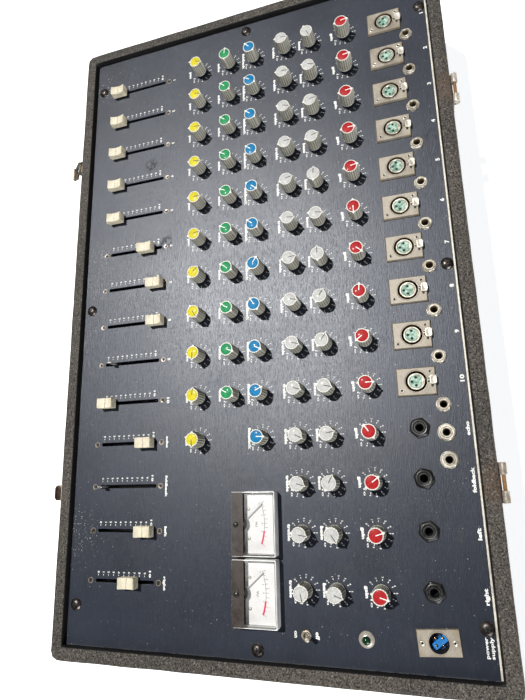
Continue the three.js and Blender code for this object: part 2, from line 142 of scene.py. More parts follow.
def loft(loops, mark=0, marks=None, ends=(True, True)):
    """Quads between loops of equal length, with flat ends. Counter-clockwise loops that rise face out."""
    n = len(loops[0])
    shape = Shape()
    shape.points = np.concatenate([np.asarray(loop, float) for loop in loops])
    for k in range(len(loops) - 1):
        for i in range(n):
            j = (i + 1) % n
            shape.faces.append((k * n + i, k * n + j, (k + 1) * n + j, (k + 1) * n + i))
            shape.marks.append(marks[k] if marks else mark)
    if ends[0]:
        shape.faces.append(tuple(reversed(range(n))))
        shape.marks.append(marks[0] if marks else mark)
    if ends[1]:
        shape.faces.append(tuple(range((len(loops) - 1) * n, len(loops) * n)))
        shape.marks.append(marks[-1] if marks else mark)
    return shape


def directions(sides):
    return np.arange(sides) * 2 * math.pi / sides


def ring(radius, z, sides):
    """A loop round Z. The radius is one number, or one for each point."""
    angles = directions(sides)
    radii = np.broadcast_to(radius, angles.shape)
    return np.stack([radii * np.cos(angles), radii * np.sin(angles), np.full(sides, float(z))], 1)


def turned(profile, sides=32):
    """A profile of (radius, height) pairs, spun about Z. It runs up the outside."""
    return loft([ring(max(r, 0.02), z, sides) for r, z in profile])


def closed(loops, mark=0):
    """A ring of loops whose last joins its first."""
    shape = loft([*loops, loops[0]], mark, None, (False, False))
    last = len(loops) * len(loops[0])
    shape.points = shape.points[:last]
    shape.faces = [tuple(i % last for i in face) for face in shape.faces]
    return shape


def tube(profile, sides=32, mark=0):
    """A closed ring of (radius, height) pairs, spun about Z. It runs up the outside and down the inside."""
    return closed([ring(r, z, sides) for r, z in profile], mark)


def rounded(length, width, radius, z, corner=4, step=1e9):
    """A counter-clockwise rounded rectangle. Its straight sides are cut into stretches of about step."""
    points = []
    x, y = length / 2 - radius, width / 2 - radius
    for k, (sx, sy) in enumerate([(1, -1), (1, 1), (-1, 1), (-1, -1)]):
        for i in range(corner + 1):
            a = (k - 1 + i / corner) * math.pi / 2
            points.append((sx * x + radius * math.cos(a), sy * y + radius * math.sin(a)))
    out = []
    for i, p in enumerate(points):
        q = points[(i + 1) % len(points)]
        cuts = max(1, round(math.dist(p, q) / step))
        out += [(p[0] + (q[0] - p[0]) * c / cuts, p[1] + (q[1] - p[1]) * c / cuts, z) for c in range(cuts)]
    return np.array(out)


def slab(length, width, low, high, radius=0.6, bevel=0.3, mark=0):
    """A plate or block with rounded corners and bevelled edges."""
    b = bevel
    return loft([
        rounded(length - 2 * b, width - 2 * b, radius, low),
        rounded(length, width, radius + b, low + b),
        rounded(length, width, radius + b, high - b),
        rounded(length - 2 * b, width - 2 * b, radius, high),
    ], mark)


def extruded(outline, low, high, bevel=0.0, mark=0):
    """A convex outline, counter-clockwise, pulled from low to high."""
    flat = np.array(outline, float)
    centre = flat.mean(0)
    scale = 1 - bevel / np.linalg.norm(flat - centre, axis=1).max()
    inner = centre + (flat - centre) * scale
    at = lambda loop, z: np.column_stack([loop, np.full(len(loop), float(z))])
    if not bevel:
        return loft([at(flat, low), at(flat, high)], mark)
    return loft([at(inner, low), at(flat, low + bevel), at(flat, high - bevel), at(inner, high)], mark)


def along_x(shape):
    """Turns a shape that was built upright, so that its Z runs along X."""
    return Shape().put(shape, matrix=Matrix.Rotation(math.pi / 2, 4, "Y"))


def screw_head(radius, height, sides=28):
    """A domed cross-head screw: the cross is two dark strips let into its top, painted shade in the slots."""
    dome = [(1, 0), (1, 0.25), (0.82, 0.68), (0.55, 0.9), (0.3, 1), (0, 1)]
    shape = turned([(r * radius, z * height) for r, z in dome], sides)
    cross = Shape()
    for turn in (0, 90):
        strip = slab(0.95 * radius, 0.2 * radius, height - 0.02, height + 0.03, 0.02, 0.005)
        cross.put(strip, turn=turn + 25)
    shape.put(cross, mark=1)
    return shape


def piece(name, shape, materials, body="console", nodes=(), sharp=35.0):
    """Makes the object, in metres, hangs it under the empty of the body that carries it, and hides the CAD
    nodes it stands for.
    """
    mesh = bpy.data.meshes.new(name)
    mesh.from_pydata((shape.points * MM).tolist(), [], shape.faces)
    for material in materials:
        mesh.materials.append(material)
    mesh.polygons.foreach_set("material_index", np.array(shape.marks, np.int32))
    mesh.update()
    return place(name, mesh, body, nodes, sharp)


def place(name, mesh, body, nodes, sharp):
    mesh.shade_smooth()
    mesh.set_sharp_from_angle(angle=math.radians(sharp))
    obj = bpy.data.objects.new(name, mesh)
    scene.collection.objects.link(obj)
    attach(obj, body)
    for node in nodes:
        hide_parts(node)
    return obj


def baked(obj):
    """The object's mesh with its modifiers applied."""
    mesh = bpy.data.meshes.new_from_object(obj.evaluated_get(bpy.context.evaluated_depsgraph_get()))
    bpy.data.objects.remove(obj)
    return mesh


glyphs = {}


def lettering(text, height, bold=0.0):
    """Built-in font outlines as thin closed solids, centred, drawn out to the length of the printed words."""
    key = (text, height, bold)
    if key not in glyphs:
        curve = bpy.data.curves.new("glyph", "FONT")
        curve.body = text
        curve.size = height * 1.38
        curve.align_x, curve.align_y = "CENTER", "CENTER"
        curve.extrude = 0.03
        curve.offset = bold
        curve.resolution_u = 2
        obj = bpy.data.objects.new("glyph", curve)
        scene.collection.objects.link(obj)
        bpy.context.view_layer.update()
        mesh = baked(obj)
        flat = bmesh.new()
        flat.from_mesh(mesh)
        bmesh.ops.remove_doubles(flat, verts=flat.verts, dist=0.004)
        shape = Shape()
        shape.points = np.array([v.co for v in flat.verts]).reshape(-1, 3)
        shape.faces = [tuple(v.index for v in f.verts) for f in flat.faces]
        shape.marks = [0] * len(shape.faces)
        natural = np.ptp(shape.points[:, 0])
        shape.points[:, 0] *= WORD_LENGTH.get(text.lower(), 1.2 * natural) / natural
        flat.free()
        bpy.data.meshes.remove(mesh)
        bpy.data.curves.remove(curve)
        glyphs[key] = shape
    return glyphs[key]


def written(shape, text, height, x, y, turn, bold=0.0, z=TOP + 0.05):
    """Lettering whose baseline runs along +X at turn 0 and whose capitals point to +Y."""
    shape.put(lettering(text, height, bold), (x, y, z), turn)


# ---------------------------------------------------------------- materials


def tone(code):
    """An sRGB hex colour as linear numbers."""
    parts = [int(code[i:i + 2], 16) / 255 for i in (0, 2, 4)]
    return tuple(c / 12.92 if c <= 0.04045 else ((c + 0.055) / 1.055) ** 2.4 for c in parts) + (1.0,)


class Finish:
    """A Principled material and short names for the nodes that feed it. Noise scales are counts per metre."""

    def __init__(self, name):
        self.material = bpy.data.materials.new(name)
        self.material.use_nodes = True
        self.tree = self.material.node_tree
        self.shader = self.tree.nodes["Principled BSDF"]
        self.where = self.node("ShaderNodeTexCoord").outputs["Object"]
        self.relief = None

    def node(self, kind, **settings):
        made = self.tree.nodes.new(kind)
        for key, value in settings.items():
            setattr(made, key, value)
        return made

    def feed(self, socket, value):
        if isinstance(value, bpy.types.NodeSocket):
            self.tree.links.new(value, socket)
        else:
            socket.default_value = value

    def stretched(self, factors):
        node = self.node("ShaderNodeMapping")
        self.feed(node.inputs["Vector"], self.where)
        node.inputs["Scale"].default_value = factors
        return node.outputs["Vector"]

    def noise(self, scale, detail=3.0, rough=0.55, where=None):
        node = self.node("ShaderNodeTexNoise")
        self.feed(node.inputs["Vector"], where or self.where)
        node.inputs["Scale"].default_value = scale
        node.inputs["Detail"].default_value = detail
        node.inputs["Roughness"].default_value = rough
        return node.outputs["Fac"]

    def cells(self, scale):
        node = self.node("ShaderNodeTexVoronoi")
        self.feed(node.inputs["Vector"], self.where)
        node.inputs["Scale"].default_value = scale
        return node.outputs["Distance"]

    def between(self, value, low, high, to_low=0.0, to_high=1.0):
        """Turns low..high into to_low..to_high, and holds the ends."""
        node = self.node("ShaderNodeMapRange", interpolation_type="SMOOTHSTEP")
        for i, v in enumerate((value, low, high, to_low, to_high)):
            self.feed(node.inputs[i], v)
        return node.outputs["Result"]

    def maths(self, kind, a, b=0.0):
        node = self.node("ShaderNodeMath", operation=kind)
        self.feed(node.inputs[0], a)
        self.feed(node.inputs[1], b)
        return node.outputs["Value"]

    def blend(self, share, a, b):
        node = self.node("ShaderNodeMix", data_type="RGBA")
        self.feed(node.inputs[0], share)
        self.feed(node.inputs[6], a)
        self.feed(node.inputs[7], b)
        return node.outputs[2]

    def axis(self, name):
        node = self.node("ShaderNodeSeparateXYZ")
        self.feed(node.inputs[0], self.where)
        return node.outputs[name]

    def within(self, name, limit):
        """1 where the coordinate is nearer to 0 than a limit given in millimetres."""
        return self.maths("LESS_THAN", self.maths("ABSOLUTE", self.axis(name)), limit * MM)

    def inside_walls(self, margin):
        """1 inside the rectangle that is margin millimetres in from the walls' inner faces."""
        along = self.within("X", CASE_LENGTH / 2 - WALL - margin)
        return self.maths("MULTIPLY", along, self.within("Y", CASE_WIDTH / 2 - WALL - margin))

    def any_near(self, spots):
        """The strongest of several near() shares, each given as a centre, a reach and a softness."""
        share = self.near(*spots[0])
        for spot in spots[1:]:
            share = self.maths("MAXIMUM", share, self.near(*spot))
        return share

    def near(self, centre, reach, soft=0.4):
        """1 at a point given in millimetres, fading to 0 at reach."""
        node = self.node("ShaderNodeVectorMath", operation="DISTANCE")
        self.feed(node.inputs[0], self.where)
        node.inputs[1].default_value = [c * MM for c in centre]
        return self.between(node.outputs["Value"], reach * soft * MM, reach * MM, 1.0, 0.0)

    def facing_up(self):
        node = self.node("ShaderNodeSeparateXYZ")
        self.feed(node.inputs[0], self.node("ShaderNodeNewGeometry").outputs["Normal"])
        return self.between(node.outputs["Z"], 0.5, 0.95)

    def edges(self, low=0.52, high=0.6):
        return self.between(self.node("ShaderNodeNewGeometry").outputs["Pointiness"], low, high)

    def bump(self, height, depth):
        """Adds relief of that depth in millimetres."""
        node = self.node("ShaderNodeBump")
        node.inputs["Distance"].default_value = depth * MM
        self.feed(node.inputs["Height"], height)
        if self.relief:
            self.tree.links.new(self.relief, node.inputs["Normal"])
        self.relief = node.outputs["Normal"]

    def done(self, colour, rough, metallic=0.0, **more):
        names = {"coat": "Coat Weight", "coat_rough": "Coat Roughness", "specular": "Specular IOR Level"}
        self.feed(self.shader.inputs["Base Color"], colour)
        self.feed(self.shader.inputs["Roughness"], rough)
        self.feed(self.shader.inputs["Metallic"], metallic)
        for key, value in more.items():
            self.feed(self.shader.inputs[names.get(key, key)], value)
        if self.relief:
            self.tree.links.new(self.relief, self.shader.inputs["Normal"])
        return self.material


def stuff(name, dark, light, rough, grain=900.0, depth=0.02, metallic=0.0, dust=0.15, worn=None, **more):
    """A moulded, cast or plated surface: two tones in blotches, a fine relief, and dust on top."""
    f = Finish(name)
    blotches = f.noise(90.0, 4.0)
    fine = f.noise(grain, 3.0)
    mottle = f.maths("ADD", blotches, f.maths("MULTIPLY", fine, 0.5))
    colour = f.blend(f.between(mottle, 0.5, 1.0), tone(dark), tone(light))
    if worn:
        share = f.maths("MULTIPLY", f.edges(), f.between(f.noise(300.0), 0.4, 0.6))
        colour = f.blend(share, colour, tone(worn))
    share = f.maths("MULTIPLY", f.facing_up(), f.between(f.noise(1500.0, 4.0, 0.7), 0.56, 0.72, 0.0, dust))
    colour = f.blend(share, colour, tone("b5afa3"))
    f.bump(fine, depth)
    return f.done(colour, f.between(blotches, 0.35, 0.65, *rough), metallic, **more)


def vinyl_finish():
    """Grained cloth with light crumbs between dark pores; inside the rim the walls are coloured near black,
    painted shade.
    """
    f = Finish("vinyl_cloth")
    grain = f.cells(600.0)
    crumbs = f.noise(620.0, 4.0, 0.75)
    colour = f.blend(f.between(f.noise(10.0, 4.0), 0.35, 0.65), tone("45413d"), tone("524c46"))
    colour = f.blend(f.between(crumbs, 0.42, 0.54), tone("151413"), colour)
    colour = f.blend(f.between(f.noise(640.0, 3.0, 0.8), 0.55, 0.65, 0.0, 0.7), colour, tone("8b847a"))
    worn = f.maths("MULTIPLY", f.edges(0.53, 0.6), f.between(f.noise(300.0, 4.0, 0.7), 0.5, 0.62))
    colour = f.blend(f.maths("MULTIPLY", worn, 0.5), colour, tone("9c8f7c"))
    outer = f.between(f.axis("Y"), -0.2135, -0.2115, 1.0, 0.0)
    chips = f.maths("MULTIPLY", f.near((198.0, -214.7, 108.0), 22.0, 0.4), outer)
    chips = f.maths("MULTIPLY", chips, f.between(f.noise(160.0, 4.0), 0.36, 0.5))
    colour = f.blend(chips, colour, tone("cdc6ba"))
    rust = f.any_near([((x, CASE_WIDTH / 2, 106.0), 26.0, 0.3) for x in (HINGE_X, -HINGE_X)])
    rust = f.maths("MULTIPLY", rust, f.between(f.noise(500.0, 3.0, 0.7), 0.4, 0.6, 0.0, 0.4))
    colour = f.blend(rust, colour, tone("6b4c30"))
    # The inner faces of the walls are coloured near black: painted shade.
    inside = f.inside_walls(-0.9)
    colour = f.blend(inside, colour, f.blend(f.between(crumbs, 0.4, 0.7), tone("0b0a0a"), tone("1c1a19")))
    f.bump(grain, 0.25)
    f.bump(crumbs, 0.15)
    return f.done(colour, f.between(grain, 0.1, 0.6, 0.55, 0.75), specular=0.3)


def panel_finish():
    """Satin slate paint over metal brushed along the strips, with smudges, specks and glue marks."""
    f = Finish("panel_paint")
    streaks = f.noise(700.0, 4.0, 0.7, f.stretched((0.12, 1.0, 1.0)))
    clouds = f.noise(9.0, 4.0, 0.55)
    fine = f.noise(1900.0, 3.0, 0.6)
    colour = f.blend(f.between(clouds, 0.25, 0.75), tone("161b26"), tone("1c2230"))
    colour = f.blend(f.between(streaks, 0.45, 0.8, 0.0, 0.5), colour, tone("2b3038"))
    grime = f.maths("MULTIPLY", f.between(f.noise(30.0, 7.0, 0.75), 0.54, 0.72), f.between(fine, 0.4, 0.6))
    colour = f.blend(f.maths("MULTIPLY", grime, 0.3), colour, tone("4d483f"))
    crust = f.any_near([((236.0, -200.0, TOP), 60.0, 0.1), ((-300.0, -190.0, TOP), 40.0, 0.1)])
    specks = f.maths("ADD", f.noise(520.0, 1.0, 0.9), f.maths("MULTIPLY", crust, 0.1))
    colour = f.blend(f.between(specks, 0.74, 0.79, 0.0, 0.7), colour, tone("b9b5ab"))
    glue = f.any_near([((-72.0, -182.0, TOP), 30.0, 0.1), ((-40.0, -190.0, TOP), 18.0, 0.1)])
    glue = f.maths("MULTIPLY", glue, f.between(f.noise(420.0, 6.0, 0.75), 0.52, 0.64))
    colour = f.blend(f.maths("MULTIPLY", glue, 0.5), colour, tone("8e8a80"))
    ink = f.any_near([(spot, 12.0, 0.1) for spot in INK_MARKS])
    ink = f.maths("MULTIPLY", ink, f.between(f.noise(160.0, 4.0, 0.6), 0.46, 0.6))
    colour = f.blend(ink, colour, tone("07090d"))
    middle = f.inside_walls(1.5)
    bare = f.maths("MULTIPLY", f.edges(0.53, 0.6), f.between(f.noise(150.0), 0.35, 0.5))
    bare = f.maths("MULTIPLY", bare, f.maths("SUBTRACT", 1.0, middle))
    colour = f.blend(bare, colour, tone("a9a8a4"))
    f.bump(fine, 0.012)
    f.bump(f.noise(2600.0, 2.0, 0.6, f.stretched((0.04, 1.0, 1.0))), 0.12)
    rough = f.between(clouds, 0.3, 0.7, 0.35, 0.4)
    rough = f.maths("ADD", rough, f.maths("MULTIPLY", ink, 0.3))
    return f.done(colour, rough, specular=0.56, **{"Specular Tint": (0.9, 0.93, 1.0, 1.0)})


def spun_cap(name, dark, light):
    """A knob cap's plastic: two tones in blotches, pale flecks and a fine relief of noise."""
    f = Finish(name)
    blotches = f.noise(500.0, 3.0)
    colour = f.blend(f.between(blotches, 0.35, 0.65), tone(dark), tone(light))
    colour = f.blend(f.between(f.noise(1600.0, 4.0, 0.7), 0.6, 0.74, 0.0, 0.14), colour, tone("d8d6cc"))
    f.bump(f.noise(1800.0, 3.0), 0.012)
    return f.done(colour, f.between(blotches, 0.3, 0.7, 0.45, 0.55), specular=0.12, coat=0.04, coat_rough=0.1)


def acrylic_finish():
    """Clear plastic: a film that mirrors more at a slant, the same from both sides."""
    f = Finish("clear_acrylic")
    gloss = f.node("ShaderNodeBsdfGlossy")
    gloss.inputs["Roughness"].default_value = 0.04
    clear = f.node("ShaderNodeBsdfTransparent")
    clear.inputs["Color"].default_value = (0.99, 0.99, 0.99, 1.0)
    slant = f.node("ShaderNodeLayerWeight")
    slant.inputs["Blend"].default_value = 0.5
    film = f.maths("MULTIPLY", f.maths("POWER", slant.outputs["Facing"], 5.0), 0.9)
    haze = f.maths("ADD", film, f.between(f.noise(500.0, 4.0), 0.5, 0.8, 0.04, 0.09))
    both = f.node("ShaderNodeMixShader")
    f.feed(both.inputs[0], haze)
    f.tree.links.new(clear.outputs[0], both.inputs[1])
    f.tree.links.new(gloss.outputs[0], both.inputs[2])
    out = f.tree.nodes["Material Output"]
    f.tree.links.new(both.outputs[0], out.inputs["Surface"])
    f.tree.nodes.remove(f.shader)
    return f.material


LOOK = {
    "vinyl": vinyl_finish(),
    "panel": panel_finish(),
    "print": stuff("white_print", "cfd0cd", "f2f2ee", (0.5, 0.7), 1500.0, 0.004, dust=0.3),
    "knob": stuff("knob_plastic", "a8a598", "bbb8ab", (0.42, 0.55), 1200.0, 0.02, dust=0.3, worn="d6d4c8"),
    # Darker, painted shade in the knobs' grooves.
    "groove_shade": stuff("knob_groove_shade", "625f56", "7d7a6f", (0.55, 0.7), 900.0, 0.02, dust=0.1),
    # Near white, a painted highlight on the knobs' top rims.
    "rim": stuff("knob_rim_highlight", "cfcdc5", "e8e6df", (0.4, 0.55), 900.0, 0.01, dust=0.0),
    "yellow": spun_cap("cap_yellow", "c0b21e", "d6c92e"),
    "green": spun_cap("cap_green", "187846", "2a925c"),
    "blue": spun_cap("cap_blue", "0c6694", "167aaa"),
    "red": spun_cap("cap_red", "951a1f", "ae2327"),
    "white": spun_cap("cap_white", "adadab", "bfbfbd"),
    "line_white": stuff("pointer_white", "e6e6e0", "f6f6f2", (0.4, 0.6), depth=0.005),
    "line_dark": stuff("pointer_dark", "3a3936", "55534e", (0.5, 0.7), depth=0.005),
    "cream": stuff("cream_plastic", "c6bda5", "d6ceb9", (0.42, 0.55), 1000.0, 0.02, dust=0.2, worn="e8dfc6"),
    # Dark cream for the lines along the fader caps' sides, painted shade in their grooves.
    "cream_shade": stuff("cream_groove_shade", "a89b7c", "bbae8f", (0.5, 0.65), 900.0, 0.02, dust=0.1),
    "nickel": stuff("nickel_plate", "81796d", "a0988b", (0.4, 0.55), 1100.0, 0.06, 0.2, worn="8b7a5c"),
    "satin": stuff("satin_nickel", "b8b1a4", "dcd7cc", (0.28, 0.42), 900.0, 0.02, 0.45,
                   dust=0.1, worn="8f8268"),
    "sleeve": stuff("jack_sleeve", "6e6250", "8f8068", (0.35, 0.5), 700.0, 0.02, 0.6, dust=0.0),
    "plated": stuff("rusty_plating", "84796b", "d6d2ca", (0.3, 0.5), 420.0, 0.04, 0.35, worn="7a5636"),
    "rust": stuff("rust", "573c24", "8f6a42", (0.6, 0.8), 420.0, 0.08, 0.2),
    "tarnished": stuff("tarnished_steel", "17110d", "3a2c20", (0.35, 0.55), 320.0, 0.06, 0.5, worn="8f7a5c"),
    "bright": stuff("bright_metal", "cfcbc2", "f0eee8", (0.18, 0.32), 700.0, 0.01, 0.8, dust=0.1),
    "bronze": stuff("browned_steel", "1c110b", "3d2718", (0.35, 0.6), 260.0, 0.06, 0.6, worn="8a7358"),
    "steel": stuff("steel", "6f7072", "94959a", (0.3, 0.45), 500.0, 0.02, 1.0),
    "screw": stuff("dark_screw", "2c2826", "4a4441", (0.25, 0.4), 500.0, 0.02, 0.85, worn="8c857c"),
    "black": stuff("black_plastic", "0d0d0d", "1b1b1b", (0.3, 0.45), 900.0, 0.015, dust=0.12, worn="3d3d3c"),
    # Near black, painted shade in holes, slots, gaps and bores.
    "hole": stuff("painted_shade_inside", "040404", "0a0a0a", (0.6, 0.8), dust=0.0),
    "mint": stuff("mint_insert", "426d59", "5b8a74", (0.35, 0.5), 1000.0, 0.02, dust=0.1, worn="d7efe2"),
    "deep_blue": stuff("deep_blue_insert", "082a4e", "0d3f74", (0.3, 0.45), 900.0, 0.02, dust=0.05),
    "blue_insert": stuff("blue_insert", "1467b0", "2a86d4", (0.3, 0.45), 900.0, 0.02, dust=0.05),
    "gold": stuff("gold_pins", "b98a4e", "dcae6c", (0.2, 0.35), 700.0, 0.01, 1.0, dust=0.0),
    "band": stuff("meter_band", "2c2420", "382e29", (0.35, 0.5), 700.0, 0.015, dust=0.2),
    # Near white for the clear meter covers' walls, a painted highlight of their lit edges.
    "edge_highlight": stuff("acrylic_edge_highlight", "c9cac8", "eeeeec", (0.4, 0.55), 600.0, 0.02, dust=0.1),
    "hand": stuff("meter_hand_paint", "8f8d8a", "a8a6a2", (0.4, 0.5), 600.0, 0.005, dust=0.0),
    "dial": stuff("meter_dial", "e2e1e0", "ecebea", (0.5, 0.65), 700.0, 0.006, dust=0.05),
    "dial_red": stuff("dial_red", "cf2f57", "e0486c", (0.5, 0.65), depth=0.004, dust=0.0),
    "dial_black": stuff("dial_black", "262524", "3c3a38", (0.5, 0.65), depth=0.004, dust=0.0),
    "acrylic": acrylic_finish(),
    "jewel": stuff("green_jewel", "02200f", "06351b", (0.08, 0.16), 500.0, 0.01,
                   dust=0.0, coat=0.8, coat_rough=0.05),
    "board": stuff("circuit_board", "5d4a22", "7a6434", (0.4, 0.55), 500.0, 0.02),
    "bare_edge": stuff("bare_edge", "bdb7aa", "e2ddd2", (0.4, 0.6), 420.0, 0.08, 0.2, dust=0.3),
}


def looks(*names):
    return [LOOK[name] for name in names]


# ---------------------------------------------------------------- case


def roughened(shape, amount, size):
    """Moves each point a little, so that a covered or cast surface isn't perfectly flat."""
    for p in shape.points:
        spot = Vector(p) / size
        p += [amount * noise.noise(spot + Vector((far, 0, 0))) for far in (0.0, 31.7, 74.3)]
    return shape


def case_shell():
    """One covered tray: up the outside, over the rim and down the inside to the floor."""
    section = [  # distance in from the outer face, height
        (3.0, 0.0), (0.8, 1.0), (0.0, 3.6), (0.0, 20.0), (0.0, 45.0), (0.0, 70.0), (0.0, 92.0), (0.0, 105.0),
        (0.3, 107.3), (1.1, 108.9), (2.4, 109.8), (4.2, RIM), (7.5, RIM), (10.8, RIM), (12.9, RIM - 0.1),
        (13.5, RIM - 0.5), (13.85, RIM - 1.2), (WALL, RIM - 2.5),
        (WALL, TOP - 2.0), (WALL, 60.0), (WALL, 12.0),
    ]
    loops = []
    for inset, z in section:
        radius = max(9.0 - inset, 1.2)
        loops.append(rounded(CASE_LENGTH - 2 * inset, CASE_WIDTH - 2 * inset, radius, z, 6, 6.0))
    count = len(rounded(CASE_LENGTH, CASE_WIDTH, 9.0, 0.0, 6, 6.0))
    loops = [resampled(loop, count) for loop in loops]
    return roughened(loft(loops), 0.28, 26.0)


def resampled(loop, count):
    """The same closed loop with another number of points, evenly spaced from its first point."""
    closed = np.vstack([loop, loop[:1]])
    run = np.concatenate([[0], np.cumsum(np.linalg.norm(np.diff(closed, axis=0), axis=1))])
    at = np.linspace(0, run[-1], count + 1)[:-1]
    return np.column_stack([np.interp(at, run, closed[:, k]) for k in range(3)])


piece("case_covering", case_shell(), looks("vinyl"),
      nodes=("case_walls", "case_bottom"), sharp=60)


# ---------------------------------------------------------------- panel

SCREWS = [(x, y) for x in (-296.6, -7.2, 300.8) for y in (-190.7, 192.9)] + [(-328.2, 0.7), (329.3, 1.1)]


def panel_plate():
    """The sheet with its slots and holes, edges slightly broken."""
    inner = (CASE_LENGTH - 2 * WALL - 0.8, CASE_WIDTH - 2 * WALL - 0.8)
    sheet = loft([rounded(*inner, 1.2, z, 3) for z in (TOP - 2.0, TOP)])
    cutter = Shape()
    hole = lambda x, y, radius: cutter.put(turned([(radius, TOP - 4), (radius, TOP + 2)], 28), (x, y, 0))
    for name, x in STRIP_X.items():
        slot = loft([rounded(SLOT_WIDTH, SLOT_LENGTH, 1.2, z, 3) for z in (TOP - 4, TOP + 2)])
        cutter.put(slot, (x, ROW_Y["fader"], 0))
        for row in knob_rows(name):
            hole(x, ROW_Y[row], 4.5)
    for name in INPUTS:
        hole(STRIP_X[name], ROW_Y["socket"], 12.4)
    for x, y in jack_places("jack") + jack_places("output"):
        hole(x, y, 5.6)
    for x in METER_X.values():
        hole(x, METER_Y, 18.9)
    hole(POWER_X, POWER_Y, 10.3)
    hole(TOGGLE_X, TOGGLE_Y, 4.4)
    hole(PILOT_X, PILOT_Y, 5.4)
    mesh = cut_out(sheet, cutter, 0.35)
    mesh.name = "control_plate"
    mesh.materials.clear()
    mesh.materials.append(LOOK["panel"])
    return mesh


def loose(shape):
    mesh = bpy.data.meshes.new("loose")
    mesh.from_pydata((shape.points * MM).tolist(), [], shape.faces)
    obj = bpy.data.objects.new("loose", mesh)
    scene.collection.objects.link(obj)
    return obj


def cut_out(shape, cutter, edge):
    """The mesh, in metres, of a shape less a cutter, its sharp edges broken by that many millimetres."""
    part, tool = loose(shape), loose(cutter)
    cut = part.modifiers.new("cut", "BOOLEAN")
    cut.object = tool
    cut.solver = "EXACT"
    broken = part.modifiers.new("broken", "BEVEL")
    broken.width = edge * MM
    broken.segments = 2
    broken.limit_method = "ANGLE"
    broken.angle_limit = math.radians(50)
    mesh = baked(part)
    bpy.data.objects.remove(tool)
    return mesh


def knob_rows(name):
    if name in INPUTS:
        return ["pan", "echo", "foldback", "treble", "bass", "gain"]
    return ["pan", "foldback", "treble", "bass", "gain"] if name == "echo" else ["treble", "bass", "gain"]


def jack_places(row):
    if row == "output":
        return [(STRIP_X[name] + OUTPUT_X, ROW_Y["output"]) for name in MASTERS]
    xs = [STRIP_X[name] + PITCH / 2 for name in INPUTS] + list(MASTER_JACKS)
    return [(x, ROW_Y["jack"]) for x in xs]


place("control_plate", panel_plate(), "console", ("control_panel",), 3)

heads = Shape()
for number, (x, y) in enumerate(SCREWS):
    heads.put(screw_head(5.8, 3.0), (x, y, TOP + 0.02), turn=37.0 * number)
piece("panel_screws", heads, looks("screw", "hole"))

strips = Shape()
strips.put(roughened(slab(674.0, 1.7, TOP + 0.1, TOP + 1.0, 0.2, 0.25), 0.15, 9.0), (0, 199.5, 0))
piece("panel_edge_strip", strips, looks("bare_edge"))


# ---------------------------------------------------------------- knobs

KNOB_SIDES = 144
GROOVE = (0.0, 0.0, 0.0, 0.0, 0.25, 0.9, 0.9, 0.25)  # depth of each point round one flute, as a share
KNOB_FOOT, KNOB_HEAD = 2.4, 18.4


def knob_loop(radius, z, flute, ridge):
    """A fluted circle with a pointed ridge towards +Y and another towards -Y."""
    off = np.abs(directions(KNOB_SIDES) % math.pi - math.pi / 2)
    depth = flute * np.resize(np.roll(GROOVE, 2), KNOB_SIDES)
    radii = radius - np.where(off < 0.17, 0, depth) + ridge * np.clip(1 - off / 0.24, 0, 1)
    return ring(radii, z, KNOB_SIDES)


def pointer_line():
    """A raised line from the middle of the cap over its dome to the ridge."""
    stations = [(0.0, 0.48), (1.1, 0.48), (2.2, 0.42), (3.4, 0.31), (4.6, 0.13), (5.6, -0.1), (7.2, -0.12)]
    loops = []
    for y, z in stations:
        low, high = KNOB_HEAD + z - 0.2, KNOB_HEAD + z + 0.14
        loops.append(np.array([(-0.4, y, low), (0.4, y, low), (0.4, y, high), (-0.4, y, high)]))
    return loft(loops[::-1])


def knob_shape():
    """Marks: 0 body, 1 cap disc, 2 pointer line, 3 painted shade in the grooves, 4 painted highlight round
    the rim.
    """
    plain = lambda radius, z: knob_loop(radius, z, 0.0, 0.0)
    foot, head = KNOB_FOOT, KNOB_HEAD
    body = loft([
        plain(6.8, foot),
        plain(7.25, foot + 0.15),
        plain(7.25, foot + 0.6),
        plain(7.1, foot + 0.8),
        knob_loop(7.05, foot + 0.9, 0.5, 0.8),
        knob_loop(6.75, head - 1.0, 0.5, 1.6),
        knob_loop(6.7, head - 0.3, 0.45, 1.6),
        knob_loop(6.5, head, 0.4, 1.4),
        plain(5.8, head),
        plain(5.7, head - 0.35),
        plain(5.3, head - 0.4),
    ])
    # Faces deep in the flutes take mark 3, a darker colour: painted shade in the grooves.
    for band in (4, 5):
        for i in range(KNOB_SIDES):
            if (i + 2) % 8 in (5, 6, 7) and abs(2 * math.pi * i / KNOB_SIDES % math.pi - math.pi / 2) > 0.2:
                body.marks[band * KNOB_SIDES + i] = 3
    # The top rim takes mark 4, a lighter colour: a painted highlight where light catches it.
    for band in (6, 7, 8):
        body.marks[band * KNOB_SIDES:(band + 1) * KNOB_SIDES] = [4] * KNOB_SIDES
    shape = Shape().put(body)
    dome = [(5.6, -0.4), (5.6, -0.1), (5.4, 0.05), (4.6, 0.2)]
    dome += [(3.4, 0.37), (2.2, 0.48), (1.1, 0.54), (0, 0.55)]
    shape.put(turned([(r, head + z) for r, z in dome], 40), mark=1)
    shape.put(pointer_line(), mark=2)
    return shape.put(turned([(3.0, -2.6), (3.0, foot + 0.1)], 20), mark=0)


KNOB = knob_shape()
CAP_OF = {
    "pan": "yellow", "echo": "green", "foldback": "blue", "gain": "red", "treble": "white", "bass": "white",
}


def knob_materials(row):
    line = "line_dark" if CAP_OF[row] in ("white", "yellow") else "line_white"
    return looks("knob", CAP_OF[row], line, "groove_shade", "rim")


BOARD_TOP, POT_SIZE, POT_TOP = 93.0, 15.0, 101.0


